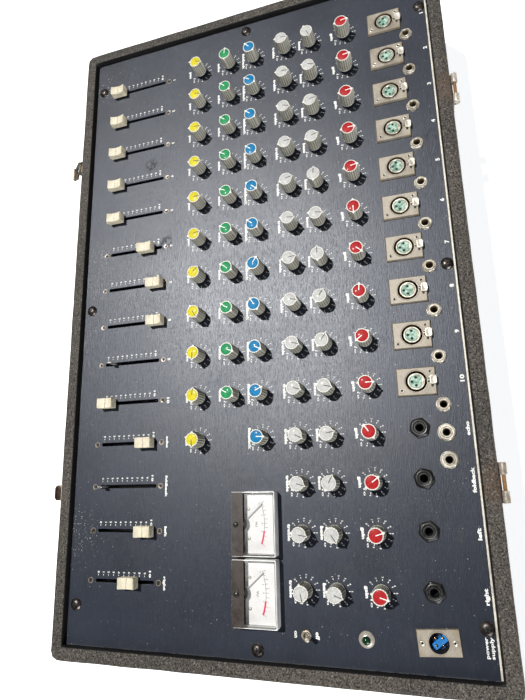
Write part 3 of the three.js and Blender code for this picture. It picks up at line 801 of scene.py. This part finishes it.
def pot_board():
    """The circuit board under the knobs and its potentiometers. Marks: 0 board, 1 can, 2 bushing."""
    first, echo, last = STRIP_X["01"] - 12, STRIP_X["echo"] + 20, STRIP_X["right"] + 12
    near, step, far = ROW_Y["pan"] - 10, ROW_Y["treble"] - 11, ROW_Y["gain"] + 10
    outline = [(first, near), (echo, near), (echo, step), (last, step), (last, far), (first, far)]
    shape = loft([np.array([(x, y, z) for x, y in outline]) for z in (BOARD_TOP - 1.6, BOARD_TOP)])
    can = slab(POT_SIZE, POT_SIZE, BOARD_TOP, POT_TOP, 1.0, 0.4)
    bushing = turned([(3.4, POT_TOP - 0.2), (3.4, TOP + 0.9), (3.0, TOP + 1.2)], 20)
    for name, x in STRIP_X.items():
        for row in knob_rows(name):
            shape.put(can, (x, ROW_Y[row], 0), mark=1)
            if not (row == "gain" or (name in MASTERS and row in ("treble", "bass"))):
                shape.put(bushing, (x, ROW_Y[row], 0), mark=2)
    return shape


piece("pot_board", pot_board(), looks("board", "steel", "nickel"),
      nodes=("channel_board",), sharp=30)

for row, angles in POINTS.items():
    still = Shape()
    owners = [name for name in STRIP_X if row in knob_rows(name)][: len(angles)]
    for name, angle in zip(owners, angles):
        still.put(KNOB, (STRIP_X[name], ROW_Y[row], TOP), angle)
    piece(f"{row}_knobs", still, knob_materials(row), sharp=40)
for row, angles in TURNED.items():
    owners = [name for name in STRIP_X if row in knob_rows(name)][-len(angles):]
    for name, angle in zip(owners, angles):
        node = f"{row}_knob_{name}"
        one = Shape().put(KNOB, (STRIP_X[name], ROW_Y[row], TOP), angle)
        piece(f"{node}_moulding", one, knob_materials(row), node, (node,), 40)


# ---------------------------------------------------------------- printing on the panel

dials, words, scales = Shape(), Shape(), Shape()
TICK = slab(0.6, 1.4, 0.0, 0.06, 0.05, 0.02)
for name, x in STRIP_X.items():
    for row in knob_rows(name):
        y = ROW_Y[row]
        for step in range(11):
            a = math.radians(DIAL_START - DIAL_STEP * step)
            out = Vector((-math.sin(a), math.cos(a)))
            dials.put(TICK, (x + DIAL_TICKS * out.x, y + DIAL_TICKS * out.y, TOP + 0.02), math.degrees(a))
            spot = (x + DIAL_NUMBERS * out.x, y + DIAL_NUMBERS * out.y)
            written(dials, str(step), 1.5, *spot, 0, 0.05)
        written(words, row, 2.7, x, LABEL_Y[row], 0, 0.24)
for name, x in STRIP_X.items():
    for step in range(11):
        y = ROW_Y["fader"] + FADER_START + FADER_STEP * step
        scales.put(TICK, (x - 5.6, y, TOP + 0.02), 90)
        written(scales, str(step), 2.1, x - 8.2, y, 0, 0.1)
    number = name in INPUTS
    written(words, name.lstrip("0"), 3.0 if number else 2.4, x, FRONT_WORDS_Y, 0, 0.18)
    written(words, name.lstrip("0"), 3.6 if number else 2.9, x, REAR_WORDS_Y, 180, 0.2)
written(words, "power", 2.6, 315.0, 190.9, 180, 0.1)
written(words, "supply", 2.6, 315.0, 194.9, 180, 0.1)
written(words, "on", 3.2, TOGGLE_X, TOGGLE_Y - 9.5, 0, 0.2)
written(words, "off", 3.2, TOGGLE_X, TOGGLE_Y + 9.5, 0, 0.2)
piece("dial_printing", dials, looks("print"))
piece("fader_printing", scales, looks("print"))
piece("word_printing", words, looks("print"))


# ---------------------------------------------------------------- faders


def fader_cap():
    """A low block with a finger hollow across its ribbed top, ribbed ends and a line across its middle."""
    half, wide = 9.0, 10.4
    foot, top, saddle = 1.6, 10.4, 1.9
    stations = np.linspace(-1, 1, 113)
    loops = []
    for x, inset in [(-wide / 2, 0.4), (0.35 - wide / 2, 0.0), (wide / 2 - 0.35, 0.0), (wide / 2, 0.4)]:
        upper = []
        for s in stations[::-1]:
            rib = 0.1 * abs(math.sin(math.pi * s * half / 1.45))
            dip = saddle * (1 - s * s) - rib + (0.35 if abs(s) < 0.03 else 0.0)
            upper.append((x, s * (half - 0.4 - inset * 0.6), top - 0.1 - dip - inset * 0.7))
        lower = [(x, -half + inset * 0.4, foot), (x, half - inset * 0.4, foot)]
        loops.append(np.array(upper + lower))
    shape = Shape().put(loft(loops))
    for end in (-1, 1):
        for k in range(7):
            rib = slab(0.7, 0.7, foot + 0.5, top - 1.0, 0.1, 0.2)
            shape.put(rib, (-4.2 + 1.4 * k, end * (half - 0.25), 0))
    # Three dark lines along each side stand in for grooves: painted shade.
    for side in (-1, 1):
        for z in (foot + 1.6, foot + 3.0, foot + 4.4):
            groove_shade = slab(0.2, 2 * half - 1.6, z - 0.12, z + 0.12, 0.05, 0.05)
            shape.put(groove_shade, (side * (wide / 2 - 0.02), 0, 0), mark=3)
    shape.put(slab(wide - 0.6, 0.5, top - saddle - 0.5, top - saddle - 0.3, 0.05, 0.03), mark=1)
    return shape


CAP = fader_cap()
LEVER = slab(1.6, 5.0, -8.0, 2.4, 0.3, 0.2)
BARE_LEVER = slab(1.6, 5.0, -8.0, 11.0, 0.4, 0.3)
rings = Shape()
for name, x in STRIP_X.items():
    node = f"fader_{name}"
    low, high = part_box(node)
    at = (x, (low.y + high.y) / 2 / MM, TOP)
    if name in CAPLESS:
        piece(f"{node}_lever", Shape().put(BARE_LEVER, at), looks("bright"), node, (node,))
    else:
        carriage = Shape().put(LEVER, at, mark=2).put(CAP, at)
        plastics = looks("cream", "line_dark", "black", "cream_shade")
        piece(f"{node}_cap", carriage, plastics, node, (node,))
    for y in FADER_SCREW_Y:
        at = (x, y, TOP + 0.02)
        rings.put(tube([(2.8, 0.0), (2.8, 0.1), (2.65, 0.16), (2.4, 0.12), (2.4, 0.0)], 32), at)
        # The dish inside each ring is near black, painted shade round the screw.
        rings.put(tube([(2.38, 0.0), (2.38, 0.1), (1.2, 0.05), (1.2, 0.0)], 32), at, mark=2)
        rings.put(turned([(1.25, 0.0), (1.25, 0.04)], 20), at, mark=1)
piece("fader_screws", rings, looks("nickel", "hole", "screw"))


# ---------------------------------------------------------------- sockets and jacks


def eyelet(outer, hole, height):
    """A countersunk screw seen from above: a bright cone round a dark disc, painted shade in its hole."""
    cone = [(outer, 0.0), (outer, 0.15), (outer - 0.4, height), (hole + 0.5, 0.25), (hole, 0.1), (hole, 0.0)]
    shape = tube(cone, 24)
    return shape.put(turned([(hole + 0.1, 0.0), (hole + 0.1, 0.12)], 20), mark=1)


def flange_plate(length, width, low, high, opening, bevel, sides=48):
    """A rectangular plate with a round opening, its rim raised a little round the opening."""
    angles = directions(sides)
    across, along = np.maximum(np.abs([np.cos(angles), np.sin(angles)]), 1e-6)

    def square(inset, z):
        x, y = length / 2 - inset, width / 2 - inset
        loop = ring(np.minimum(x / across, y / along), z, sides)
        for sx in (1, -1):
            for sy in (1, -1):  # pull the nearest point of the loop into each corner
                corner = np.array([sx * x, sy * y, z])
                loop[np.argmin(np.linalg.norm(loop - corner, axis=1))] = corner
        return loop

    loops = [square(0.0, low), square(0.0, low + 0.25 * (high - low)), square(bevel, high)]
    loops += [ring(opening + 1.1, high, sides), ring(opening + 0.7, high + 0.35, sides)]
    loops += [ring(opening, high + 0.3, sides), ring(opening, low, sides)]
    return closed(loops)


def insert_loop(radius, z, sides=60):
    """The outline of a socket insert: round, but flattened and notched towards +Y."""
    angles = directions(sides)
    off = np.abs((angles - math.pi / 2 + math.pi) % (2 * math.pi) - math.pi)
    flat = 0.80 * radius / np.maximum(np.cos(off), 1e-3)
    radii = np.where(np.cos(off) > 0, np.minimum(radius, flat), radius)
    radii -= 0.35 * np.exp(-(((off - 0.75) / 0.12) ** 2))
    return ring(radii, z, sides)


def input_socket():
    """Marks: 0 flange, 1 bright ring and tab, 2 dark gap and notches, painted shade, 3 insert, 4 pin and
    screw holes, painted shade, 5 screw.
    """
    shape = Shape()
    shape.put(flange_plate(25.4, 34.2, 0.3, 2.7, 9.4, 0.9))
    shape.put(tube([(9.38, -14.0), (9.38, 1.4), (9.2, 1.5), (9.2, -14.0)], 48), mark=2)
    shape.put(turned([(9.3, -14.2), (9.3, -9.0)], 48), mark=2)
    shape.put(turned([(6.6, 0.2), (6.6, 1.9)], 48), mark=1)
    shape.put(tube([(7.5, -9.2), (7.5, 2.5), (7.2, 2.9), (6.5, 2.9), (5.95, 2.3), (5.95, -9.2)], 56), mark=1)
    shape.put(loft([insert_loop(5.9, -9.2), insert_loop(5.9, 2.0), insert_loop(5.7, 2.3)]), mark=3)
    for x, y in ((-3.7, -0.2), (3.5, -0.2), (0.0, -3.7)):
        shape.put(turned([(1.3, 2.2), (1.3, 2.36)], 20), (x, y, 0), mark=4)
    for x, y in ((-8.1, 12.4), (7.8, -12.8)):
        head = eyelet(1.75, 1.0, 0.3)
        head.marks = [5 if m == 0 else 4 for m in head.marks]
        shape.put(head, (x, y, 2.72))
    shape.put(slab(3.4, 3.6, 2.6, 3.0, 0.5, 0.2), (-0.2, 9.9, 0), mark=2)
    shape.put(slab(2.4, 2.0, 2.7, 3.1, 0.4, 0.15), (4.4, 13.6, 0), mark=2)
    shape.put(slab(1.2, 2.4, 2.7, 3.6, 0.4, 0.25), (-0.6, 10.4, 0), mark=5)
    tab = loft([
        rounded(7.4, 5.0, 1.2, 2.75, 5), rounded(8.4, 6.0, 1.8, 3.1, 5), rounded(8.5, 6.2, 2.0, 3.7, 5),
        rounded(8.0, 5.7, 1.8, 4.1, 5), rounded(6.4, 4.1, 1.4, 4.2, 5), rounded(5.6, 3.3, 1.2, 4.05, 5),
    ], mark=1)
    shape.put(tab, (-0.7, 14.7, 0))
    return shape


socket = input_socket()
sockets = Shape()
for name in INPUTS:
    sockets.put(socket, (STRIP_X[name], ROW_Y["socket"], TOP))
piece("input_connectors", sockets, looks("nickel", "satin", "hole", "mint", "hole", "satin"),
      nodes=("input_sockets",), sharp=30)


def hexagon(radius, z, turn=0.0, sides=48, soft=0.35):
    """A hexagon's outline with its corners turned down to a circle."""
    angles = directions(sides)
    off = (angles - math.radians(turn) + math.pi / 6) % (math.pi / 3) - math.pi / 6
    radii = np.minimum(radius * math.cos(math.pi / 6) / np.cos(off), radius - soft)
    return ring(radii, z, sides)


def chrome_jack(nut):
    """A washer, a hexagon nut and a rolled bushing round a deep bore. Marks: 0 metal, 1 sleeve, 2 dark,
    painted shade down the bore.
    """
    shape = Shape()
    shape.put(tube([(nut, 0.05), (nut, 0.4), (nut - 0.2, 0.55), (4.9, 0.55), (4.9, 0.05)], 48))
    flats = [hexagon(nut + 0.2, 0.6), hexagon(nut + 0.2, 1.8), hexagon(nut - 0.3, 2.3)]
    flats += [ring(nut - 1.1, 2.5, 48), ring(nut - 1.5, 2.25, 48), ring(4.8, 2.25, 48), ring(4.8, 0.6, 48)]
    shape.put(closed(flats))
    shape.put(tube([(4.6, -2.0), (4.6, 2.9), (4.3, 3.4), (3.7, 3.4), (3.3, 2.8), (3.3, -2.0)], 48))
    shape.put(tube([(3.28, -18.0), (3.28, 2.2), (3.1, 2.3), (2.9, 1.9), (2.9, -18.0)], 36), mark=1)
    return shape.put(bore_floor(), mark=2)


def black_jack():
    """A moulded hexagon nut on a black bushing."""
    shape = Shape()
    nut = [hexagon(9.4, 0.1, 15), hexagon(9.4, 1.5, 15), hexagon(8.7, 2.3, 15), ring(7.3, 2.6, 48)]
    nut += [ring(6.7, 3.0, 48), ring(6.2, 3.1, 48), ring(5.2, 2.8, 48), ring(5.2, 0.1, 48)]
    shape.put(closed(nut))
    shape.put(tube([(4.9, -2.0), (4.9, 3.9), (4.5, 4.4), (3.9, 4.4), (3.5, 3.8), (3.45, -2.0)], 48))
    shape.put(tube([(3.42, -18.0), (3.42, 3.0), (3.25, 3.1), (3.1, 2.7), (3.1, -18.0)], 36), mark=1)
    return shape.put(bore_floor(), mark=2)


def bore_floor():
    """The jack's body below the panel, a cup coloured dark: painted shade at the foot of the bore."""
    return tube([(8.0, -24.0), (8.0, -2.4), (3.5, -2.4), (3.5, -22.0), (0.02, -22.0), (0.02, -24.0)], 32)


chrome_jacks, black_jacks = Shape(), Shape()
for number, (x, y) in enumerate(jack_places("jack")):
    nut = 6.5 if number < len(INPUTS) else 7.5
    chrome_jacks.put(chrome_jack(nut), (x, y, TOP), 23.0 * number)
for number, (x, y) in enumerate(jack_places("output")):
    black_jacks.put(black_jack(), (x, y, TOP), 31.0 * number)
piece("channel_jack_set", chrome_jacks, looks("satin", "sleeve", "hole"),
      nodes=("channel_jacks",), sharp=30)
piece("output_jack_set", black_jacks, looks("black", "steel", "hole"),
      nodes=("output_jacks",), sharp=30)


def power_socket():
    """Marks: 0 flange, 1 deep blue insert, 2 gold pin, 3 screw, 4 dark, painted shade in the gap round the
    insert and in the screw holes, 5 the insert's lighter block.
    """
    shape = Shape()
    shape.put(flange_plate(20.7, 33.7, 0.3, 2.0, 7.9, 0.5))
    cup = [(9.3, -18.0), (9.3, 0.2), (8.0, 0.2), (8.0, -10.0), (0.02, -10.0), (0.02, -18.0)]
    shape.put(tube(cup, 40), mark=1)
    shape.put(tube([(7.98, -9.9), (7.98, 1.6), (7.6, 1.8), (7.4, 1.2), (7.4, -9.9)], 40), mark=4)
    shape.put(slab(5.6, 13.4, -10.2, -5.0, 1.0, 0.4), (1.2, 0.8, 0), 35.0, 5)
    for k in range(4):
        a = math.radians(45 + 90 * k)
        pin = turned([(0.8, -10.5), (0.8, -2.0), (0.5, -1.4), (0, -1.2)], 16)
        shape.put(pin, (4.0 * math.cos(a), 4.0 * math.sin(a), 0), mark=2)
    for y in (-13.0, 12.3):
        screw = eyelet(2.3, 0.95, 0.5)
        shape.put(screw, (0, y, 2.02), mark=3)
        shape.put(turned([(1.0, 0.0), (1.0, 0.2)], 16), (0, y, 2.05), mark=4)
    return shape


piece("power_connector", Shape().put(power_socket(), (POWER_X, POWER_Y, TOP), 3.5),
      looks("nickel", "deep_blue", "gold", "satin", "hole", "blue_insert"),
      nodes=("power_inlet",), sharp=30)


# ---------------------------------------------------------------- meters, lamp and switch

DIAL_TOP = 5.4  # of the dial card, above the panel


def on_scale(radius, angle, z):
    """A place on a circle round the middle of the meter's scale."""
    return (-radius * math.sin(angle), SCALE_Y + radius * math.cos(angle), z)


def meter_case():
    """Marks: 0 black case, 1 dial card, 2 printed black, 3 printed red, 4 screw."""
    shape = Shape()
    shape.put(slab(METER_LENGTH - 0.6, METER_WIDTH - 0.6, 0.1, 2.5, 1.0, 0.3), mark=1)
    shape.put(turned([(18.0, -26.0), (18.0, 0.2)], 40), mark=0)
    card_width = METER_WIDTH - 13.0
    card = slab(METER_LENGTH - 4.2, card_width, 2.4, DIAL_TOP, 0.4, 0.2)
    shape.put(card, (0, (METER_WIDTH - card_width) / 2 - 2.1, 0), mark=1)
    for step in range(11):
        a = math.radians(19.6 - 3.92 * step)
        reach = SCALE_RADIUS + (1.3 if step % 2 else 1.8)
        tick = slab(0.28, 2.2 if step % 2 else 3.2, DIAL_TOP, DIAL_TOP + 0.06, 0.04, 0.02)
        shape.put(tick, on_scale(reach, a, 0), math.degrees(a), 2 if step < 7 else 3)
        if step in (0, 3, 5, 7):
            number = lettering(str(step), 1.5)
            shape.put(number, on_scale(SCALE_RADIUS - 2.2, a, DIAL_TOP + 0.05), math.degrees(a), 2)
    shape.put(arc_band(0.3, 19.6, -7.2, DIAL_TOP + 0.02), mark=2)
    shape.put(arc_band(1.6, -7.2, -19.6, DIAL_TOP + 0.02), mark=3)
    shape.put(lettering("VU", 2.2, 0.03), (0.8, 1.4, DIAL_TOP + 0.05), mark=2)
    for x in (-12.5, 13.5):
        shape.put(screw_head(1.5, 0.8, 18), (x, -5.6, DIAL_TOP + 0.02), mark=4)
    return shape


def arc_band(width, first, last, z):
    """A flat strip bent along the meter's scale. Angles are counted from +Y towards -X."""
    steps = 20
    shape = Shape()
    points = []
    for k in range(steps + 1):
        a = math.radians(first + (last - first) * k / steps)
        for r in (SCALE_RADIUS - width / 2, SCALE_RADIUS + width / 2):
            for h in (z, z + 0.06):
                points.append(on_scale(r, a, h))
    shape.points = np.array(points)
    for k in range(steps):
        i, j = 4 * k, 4 * (k + 1)
        for a, b in ((0, 1), (1, 3), (3, 2), (2, 0)):
            shape.faces.append((i + a, i + b, j + b, j + a))
    shape.faces += [(0, 2, 3, 1), (4 * steps, 4 * steps + 1, 4 * steps + 3, 4 * steps + 2)]
    shape.marks = [0] * len(shape.faces)
    return shape


BAND_WIDTH = 11.6  # of the brown part of the cover, from its -Y edge


def meter_cover():
    """A lid, brown along one side. Marks: 0 clear, 1 brown, 2 screw, 3 near-white walls, a painted highlight
    of the clear edges, 4 dark opening, painted shade.
    """
    shape = Shape()
    length, width, top, low = METER_LENGTH, METER_WIDTH, METER_TOP, 2.8
    outer = [rounded(length, width, 1.2, low), rounded(length, width, 1.2, top - 1.0)]
    outer.append(rounded(length - 0.7, width - 0.7, 1.0, top - 0.25))
    outer.append(rounded(length - 2.0, width - 2.0, 0.8, top))
    hollow = [rounded(length - 3.8, width - 3.8, 0.6, top - 1.4)]
    hollow.append(rounded(length - 3.6, width - 3.6, 0.6, low))
    n = len(outer[0])
    # The walls are coloured near white, a painted highlight of the clear edges.
    walls = loft([*outer, *hollow], ends=(False, False), marks=[3, 3, 3, 0, 3, 3])
    keep = [k for k, face in enumerate(walls.faces) if not 3 * n <= min(face) < 4 * n]
    walls.faces = [walls.faces[k] for k in keep]
    walls.faces += [tuple(range(3 * n, 4 * n)), tuple(reversed(range(4 * n, 5 * n)))]
    walls.marks = [walls.marks[k] for k in keep] + [0, 0]
    for i in range(n):
        j = (i + 1) % n
        walls.faces.append((5 * n + i, 5 * n + j, j, i))
        walls.marks.append(3)
    shape.put(walls)
    middle = (BAND_WIDTH - width) / 2 + 0.5
    shape.put(slab(length - 1.2, BAND_WIDTH, top + 0.02, top + 0.25, 0.5, 0.1), (0, middle, 0), mark=1)
    shape.put(slab(length - 4.0, BAND_WIDTH - 1.4, 2.9, 3.4, 0.4, 0.1), (0, middle + 0.9, 0), mark=1)
    edge = BAND_WIDTH - width / 2 + 0.5
    hump = [(5.0 * math.cos(a), 2.6 * math.sin(a)) for a in np.linspace(0, math.pi, 17)]
    # The dark half disc is painted shade in the opening.
    shape.put(extruded(hump, top - 2.2, top - 1.8), (0, edge + 0.2, 0), mark=4)
    for end in (-1, 1):
        cheek = slab(0.5, BAND_WIDTH, low + 0.4, top - 0.6, 0.1, 0.1)
        shape.put(cheek, (end * (length / 2 + 0.15), middle, 0), mark=1)
    return shape.put(screw_head(2.5, 1.4, 24), (0.8, -16.2, top + 0.26), mark=2)


def meter_hand():
    shape = Shape()
    shape.put(slab(0.7, 26.2, 0.2, 0.7, 0.1, 0.08), (0, 13.1, 0))
    shape.put(slab(0.9, 3.0, 0.15, 0.6, 0.2, 0.08), (0, -1.0, 0))
    return shape.put(turned([(2.0, 0.0), (2.0, 0.7), (1.4, 0.95), (0, 0.95)], 24))


for side, x in METER_X.items():
    at = (x, METER_Y, TOP)
    piece(f"vu_dial_{side}", Shape().put(meter_case(), at),
          looks("black", "dial", "dial_black", "dial_red", "satin"),
          nodes=(f"vu_meter_{side}",), sharp=30)
    piece(f"vu_window_{side}", Shape().put(meter_cover(), at),
          looks("acrylic", "band", "black", "edge_highlight", "hole"),
          nodes=(f"vu_cover_{side}",), sharp=25)
    piece(f"vu_hand_{side}", Shape().put(meter_hand(), (x, METER_Y + PIVOT_Y, TOP + 6.5), NEEDLE_TILT),
          looks("hand"), f"vu_needle_{side}", (f"vu_needle_{side}",))

lamp = Shape()
bezel = [(6.7, 0.1), (6.7, 0.9), (6.3, 1.5), (5.2, 2.6), (4.2, 3.4), (3.6, 3.6), (3.45, 3.2), (3.45, 0.1)]
lamp.put(tube(bezel, 48))
lamp.put(turned([(3.4, 0.2), (3.4, 3.0), (3.2, 4.2), (2.6, 5.1), (1.5, 5.7), (0, 5.9)], 40), mark=1)
lamp.put(turned([(4.6, -20.0), (4.6, -0.2)], 28), mark=2)
piece("pilot_light", Shape().put(lamp, (PILOT_X, PILOT_Y, TOP)), looks("satin", "jewel", "black"),
      nodes=("pilot_lamp",), sharp=30)

collar = Shape()
nut = [hexagon(4.9, 0.1, 10), hexagon(4.9, 1.7, 10), hexagon(4.5, 2.3, 10)]
nut += [ring(3.5, 2.4, 48), ring(3.5, 0.1, 48)]
collar.put(closed(nut))
collar.put(tube([(3.4, -2.0), (3.4, 3.6), (3.1, 4.0), (2.5, 4.0), (2.2, 3.4), (2.2, -2.0)], 40))
collar.put(slab(8.0, 13.0, -15.0, -2.4, 0.6, 0.3), mark=1)
piece("toggle_collar", Shape().put(collar, (TOGGLE_X, TOGGLE_Y, TOP)), looks("satin", "black"),
      nodes=("toggle_body",), sharp=30)
bat = [(0.6, -2.0), (1.5, -1.3), (1.5, 0.6), (1.1, 2.0), (1.3, 6.0)]
bat += [(2.0, 12.2), (2.1, 13.2), (1.7, 14.1), (0.8, 14.4)]
tilt = Matrix.Translation((TOGGLE_X, TOGGLE_Y, TOP + 1.0)) @ Matrix.Rotation(math.radians(-16), 4, "X")
piece("toggle_bat", Shape().put(turned(bat, 28), matrix=tilt), looks("satin"),
      "toggle_lever", ("toggle_lever",))


# ---------------------------------------------------------------- hinges and catches


def hinge():
    """A leaf with two rolled knuckles and a pin between them. Marks: 0 metal, 1 screw, 2 rusty."""
    shape = Shape()
    face = CASE_WIDTH / 2
    leaf = slab(33.0, 30.0, 0.1, 1.5, 1.5, 0.3)
    upright = Matrix.Translation((0, face, TOP - 16.0)) @ Matrix.Rotation(-math.pi / 2, 4, "X")
    shape.put(leaf, matrix=upright, mark=2)
    axis = face + 0.3 + 3.45
    for x in (-11.5, 11.5):
        knuckle = turned([(2.6, -5.0), (3.2, -4.6), (3.25, -4.0), (3.25, 4.0), (3.2, 4.6), (2.6, 5.0)], 28)
        shape.put(along_x(knuckle), (x, axis, TOP - 1.0))
        shape.put(slab(10.0, 3.4, -2.4, 0.0, 0.3, 0.2), (x, axis - 1.9, TOP - 1.0))
    shape.put(along_x(turned([(1.6, -12.0), (1.6, 12.0)], 20)), (0, axis, TOP - 1.0), mark=2)
    for x in (-10.5, 0.0, 10.5):
        spot = Matrix.Translation((x, face + 1.4, TOP - 22.0)) @ Matrix.Rotation(-math.pi / 2, 4, "X")
        shape.put(screw_head(2.6, 1.2, 20), matrix=spot, mark=1)
    return shape


OUT_FROM_FRONT = Matrix(((0, 0, 1, 0), (-1, 0, 0, 0), (0, 1, 0, 0), (0, 0, 0, 1)))  # X to -Y, Y to Z


def catch_base(bridged):
    """The fixed plate of a draw catch, its two ears, and on one a domed tongue over them. Outwards is -Y."""
    shape = Shape()
    face = -CASE_WIDTH / 2
    upright = Matrix.Translation((0, face, TOP - 15.0)) @ Matrix.Rotation(math.pi / 2, 4, "X")
    shape.put(slab(28.0, 34.0, 0.1, 1.6, 1.5, 0.3), matrix=upright)
    for x in (-7.0, 7.0):
        outline = [(0, -4.1), (7.2, -4.1), (8.8, -2.9), (8.8, 0.4), (7.2, 1.8), (0, 1.8)]
        ear = extruded(outline, -0.75, 0.75, 0.2)
        shape.put(ear, matrix=Matrix.Translation((x, face, TOP - 2.0)) @ OUT_FROM_FRONT)
    if bridged:
        low, high = TOP + 0.8, TOP + 2.0
        tongue = [rounded(15.4, 9.6, 3.8, low, 6), rounded(15.8, 10.0, 4.0, low + 0.5, 6)]
        tongue += [rounded(15.0, 9.2, 3.6, high - 0.2, 6), rounded(12.0, 6.0, 2.0, high + 0.2, 6)]
        shape.put(loft(tongue), (0, face - 4.8, 0))
    for x in (-9.5, 9.5):
        spot = Matrix.Translation((x, face - 1.5, TOP - 25.0)) @ Matrix.Rotation(math.pi / 2, 4, "X")
        shape.put(screw_head(2.4, 1.2, 20), matrix=spot, mark=1)
    return shape


def catch_arm():
    """The lever, lying along -Y from its pin: a neck, a blade that narrows, with a slot, and a rolled lip."""
    shape = Shape()
    inner, wide, lip, reach = 5.6, 12.5, 8.0, 17.0
    outline = [(-inner, 1.4), (-inner, -4.4), (-wide + 0.6, -5.8), (-wide, -7.0), (-lip, -reach)]
    outline += [(-x, y) for x, y in reversed(outline)]
    plate = loft([np.array([(x, y, z) for x, y in outline]) for z in (-0.8, 0.8)])
    cutter = Shape()
    eye = [(4.6 * math.cos(t), -7.2 + 2.7 * math.sin(t)) for t in directions(24)]
    for hole in (eye, [(-4.5, -15.4), (4.5, -15.4), (4.5, -13.4), (-4.5, -13.4)]):
        cutter.put(loft([np.array([(x, y, z) for x, y in hole]) for z in (-2, 2)]))
    mesh = cut_out(plate, cutter, 0.3)
    shape.points = np.array([v.co for v in mesh.vertices]) / MM
    shape.faces = [tuple(p.vertices) for p in mesh.polygons]
    shape.marks = [0] * len(shape.faces)
    bpy.data.meshes.remove(mesh)
    roll = turned([(1.6, -lip), (2.2, -lip + 0.6), (2.2, lip - 0.6), (1.6, lip)], 24)
    shape.put(along_x(roll), (0, -reach - 1.0, 0))
    shape.put(along_x(turned([(1.4, -6.0), (1.4, 6.0)], 20)), (0, 0, 0))
    return shape


hinge_shape, arm_shape = hinge(), catch_arm()
for side, sign in (("left", -1), ("right", 1)):
    leaf = Shape().put(hinge_shape, (sign * HINGE_X, 0, 0))
    piece(f"hinge_{side}", leaf, looks("plated", "screw", "rust"),
          nodes=(f"rear_hinge_{side}",), sharp=30)
    metal = "tarnished" if side == "left" else "bronze"
    base = Shape().put(catch_base(side == "right"), (CATCH_X[side], 0, 0))
    piece(f"catch_base_{side}", base, looks(metal, "screw"),
          nodes=(f"catch_plate_{side}",), sharp=30)
    turn = Matrix.Rotation(math.radians(LEVER_TILT[side]), 4, "X")
    hang = Matrix.Translation((CATCH_X[side], *CATCH_PIN)) @ turn
    piece(f"catch_arm_{side}", Shape().put(arm_shape, matrix=hang), looks(metal),
          f"catch_lever_{side}", (f"catch_lever_{side}",), 30)

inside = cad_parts["fader_board"].data
inside.materials.clear()
inside.materials.append(LOOK["black"])

# ---------------------------------------------------------------- floor, light and camera

floor = bpy.data.meshes.new("floor")
FLOOR_REACH, FLOOR_Z = 6.0, -0.0005  # metres
corners = [(x * FLOOR_REACH, y * FLOOR_REACH, FLOOR_Z) for x, y in ((-1, -1), (1, -1), (1, 1), (-1, 1))]
floor.from_pydata(corners, [], [(0, 1, 2, 3)])
pale = Finish("pale_floor")
shade = pale.blend(pale.noise(3.0), tone("f4f3f0"), tone("f8f8f6"))
glow = {"Emission Color": (0.95, 0.97, 1.0, 1.0), "Emission Strength": 0.62}
floor.materials.append(pale.done(shade, 0.9, **glow))
floor_object = bpy.data.objects.new("floor", floor)
scene.collection.objects.link(floor_object)

world = bpy.data.worlds.new("studio")
scene.world = world
world.use_nodes = True
world.node_tree.nodes["Background"].inputs["Color"].default_value = (0.93, 0.96, 1.0, 1.0)
world.node_tree.nodes["Background"].inputs["Strength"].default_value = 0.09


def lamp_from(name, towards, strength, spread, colour=(1, 1, 1)):
    light = bpy.data.lights.new(name, "SUN")
    light.energy = strength
    light.angle = math.radians(spread)
    light.color = colour
    obj = bpy.data.objects.new(name, light)
    obj.rotation_euler = Vector(towards).to_track_quat("Z", "Y").to_euler()
    scene.collection.objects.link(obj)


lamp_from("key", (-0.34, -0.31, 1.0), 3.9, 1.5, (1.0, 0.985, 0.955))
lamp_from("fill", (0.85, 0.35, 0.4), 2.3, 40.0, (0.97, 0.985, 1.0))

camera = bpy.data.objects.new("camera", bpy.data.cameras.new("camera"))
camera.data.lens = 27.043
camera.data.sensor_width = 36.0
camera.matrix_world = Matrix((
    (0.022277, -0.972281, 0.232753, 0.179777),
    (0.950303, 0.092905, 0.297141, 0.167778),
    (-0.310528, 0.214566, 0.926031, 0.589760),
    (0, 0, 0, 1),
))
camera.data.clip_start = 0.01
scene.collection.objects.link(camera)
scene.camera = camera
scene.view_settings.view_transform = "Standard"
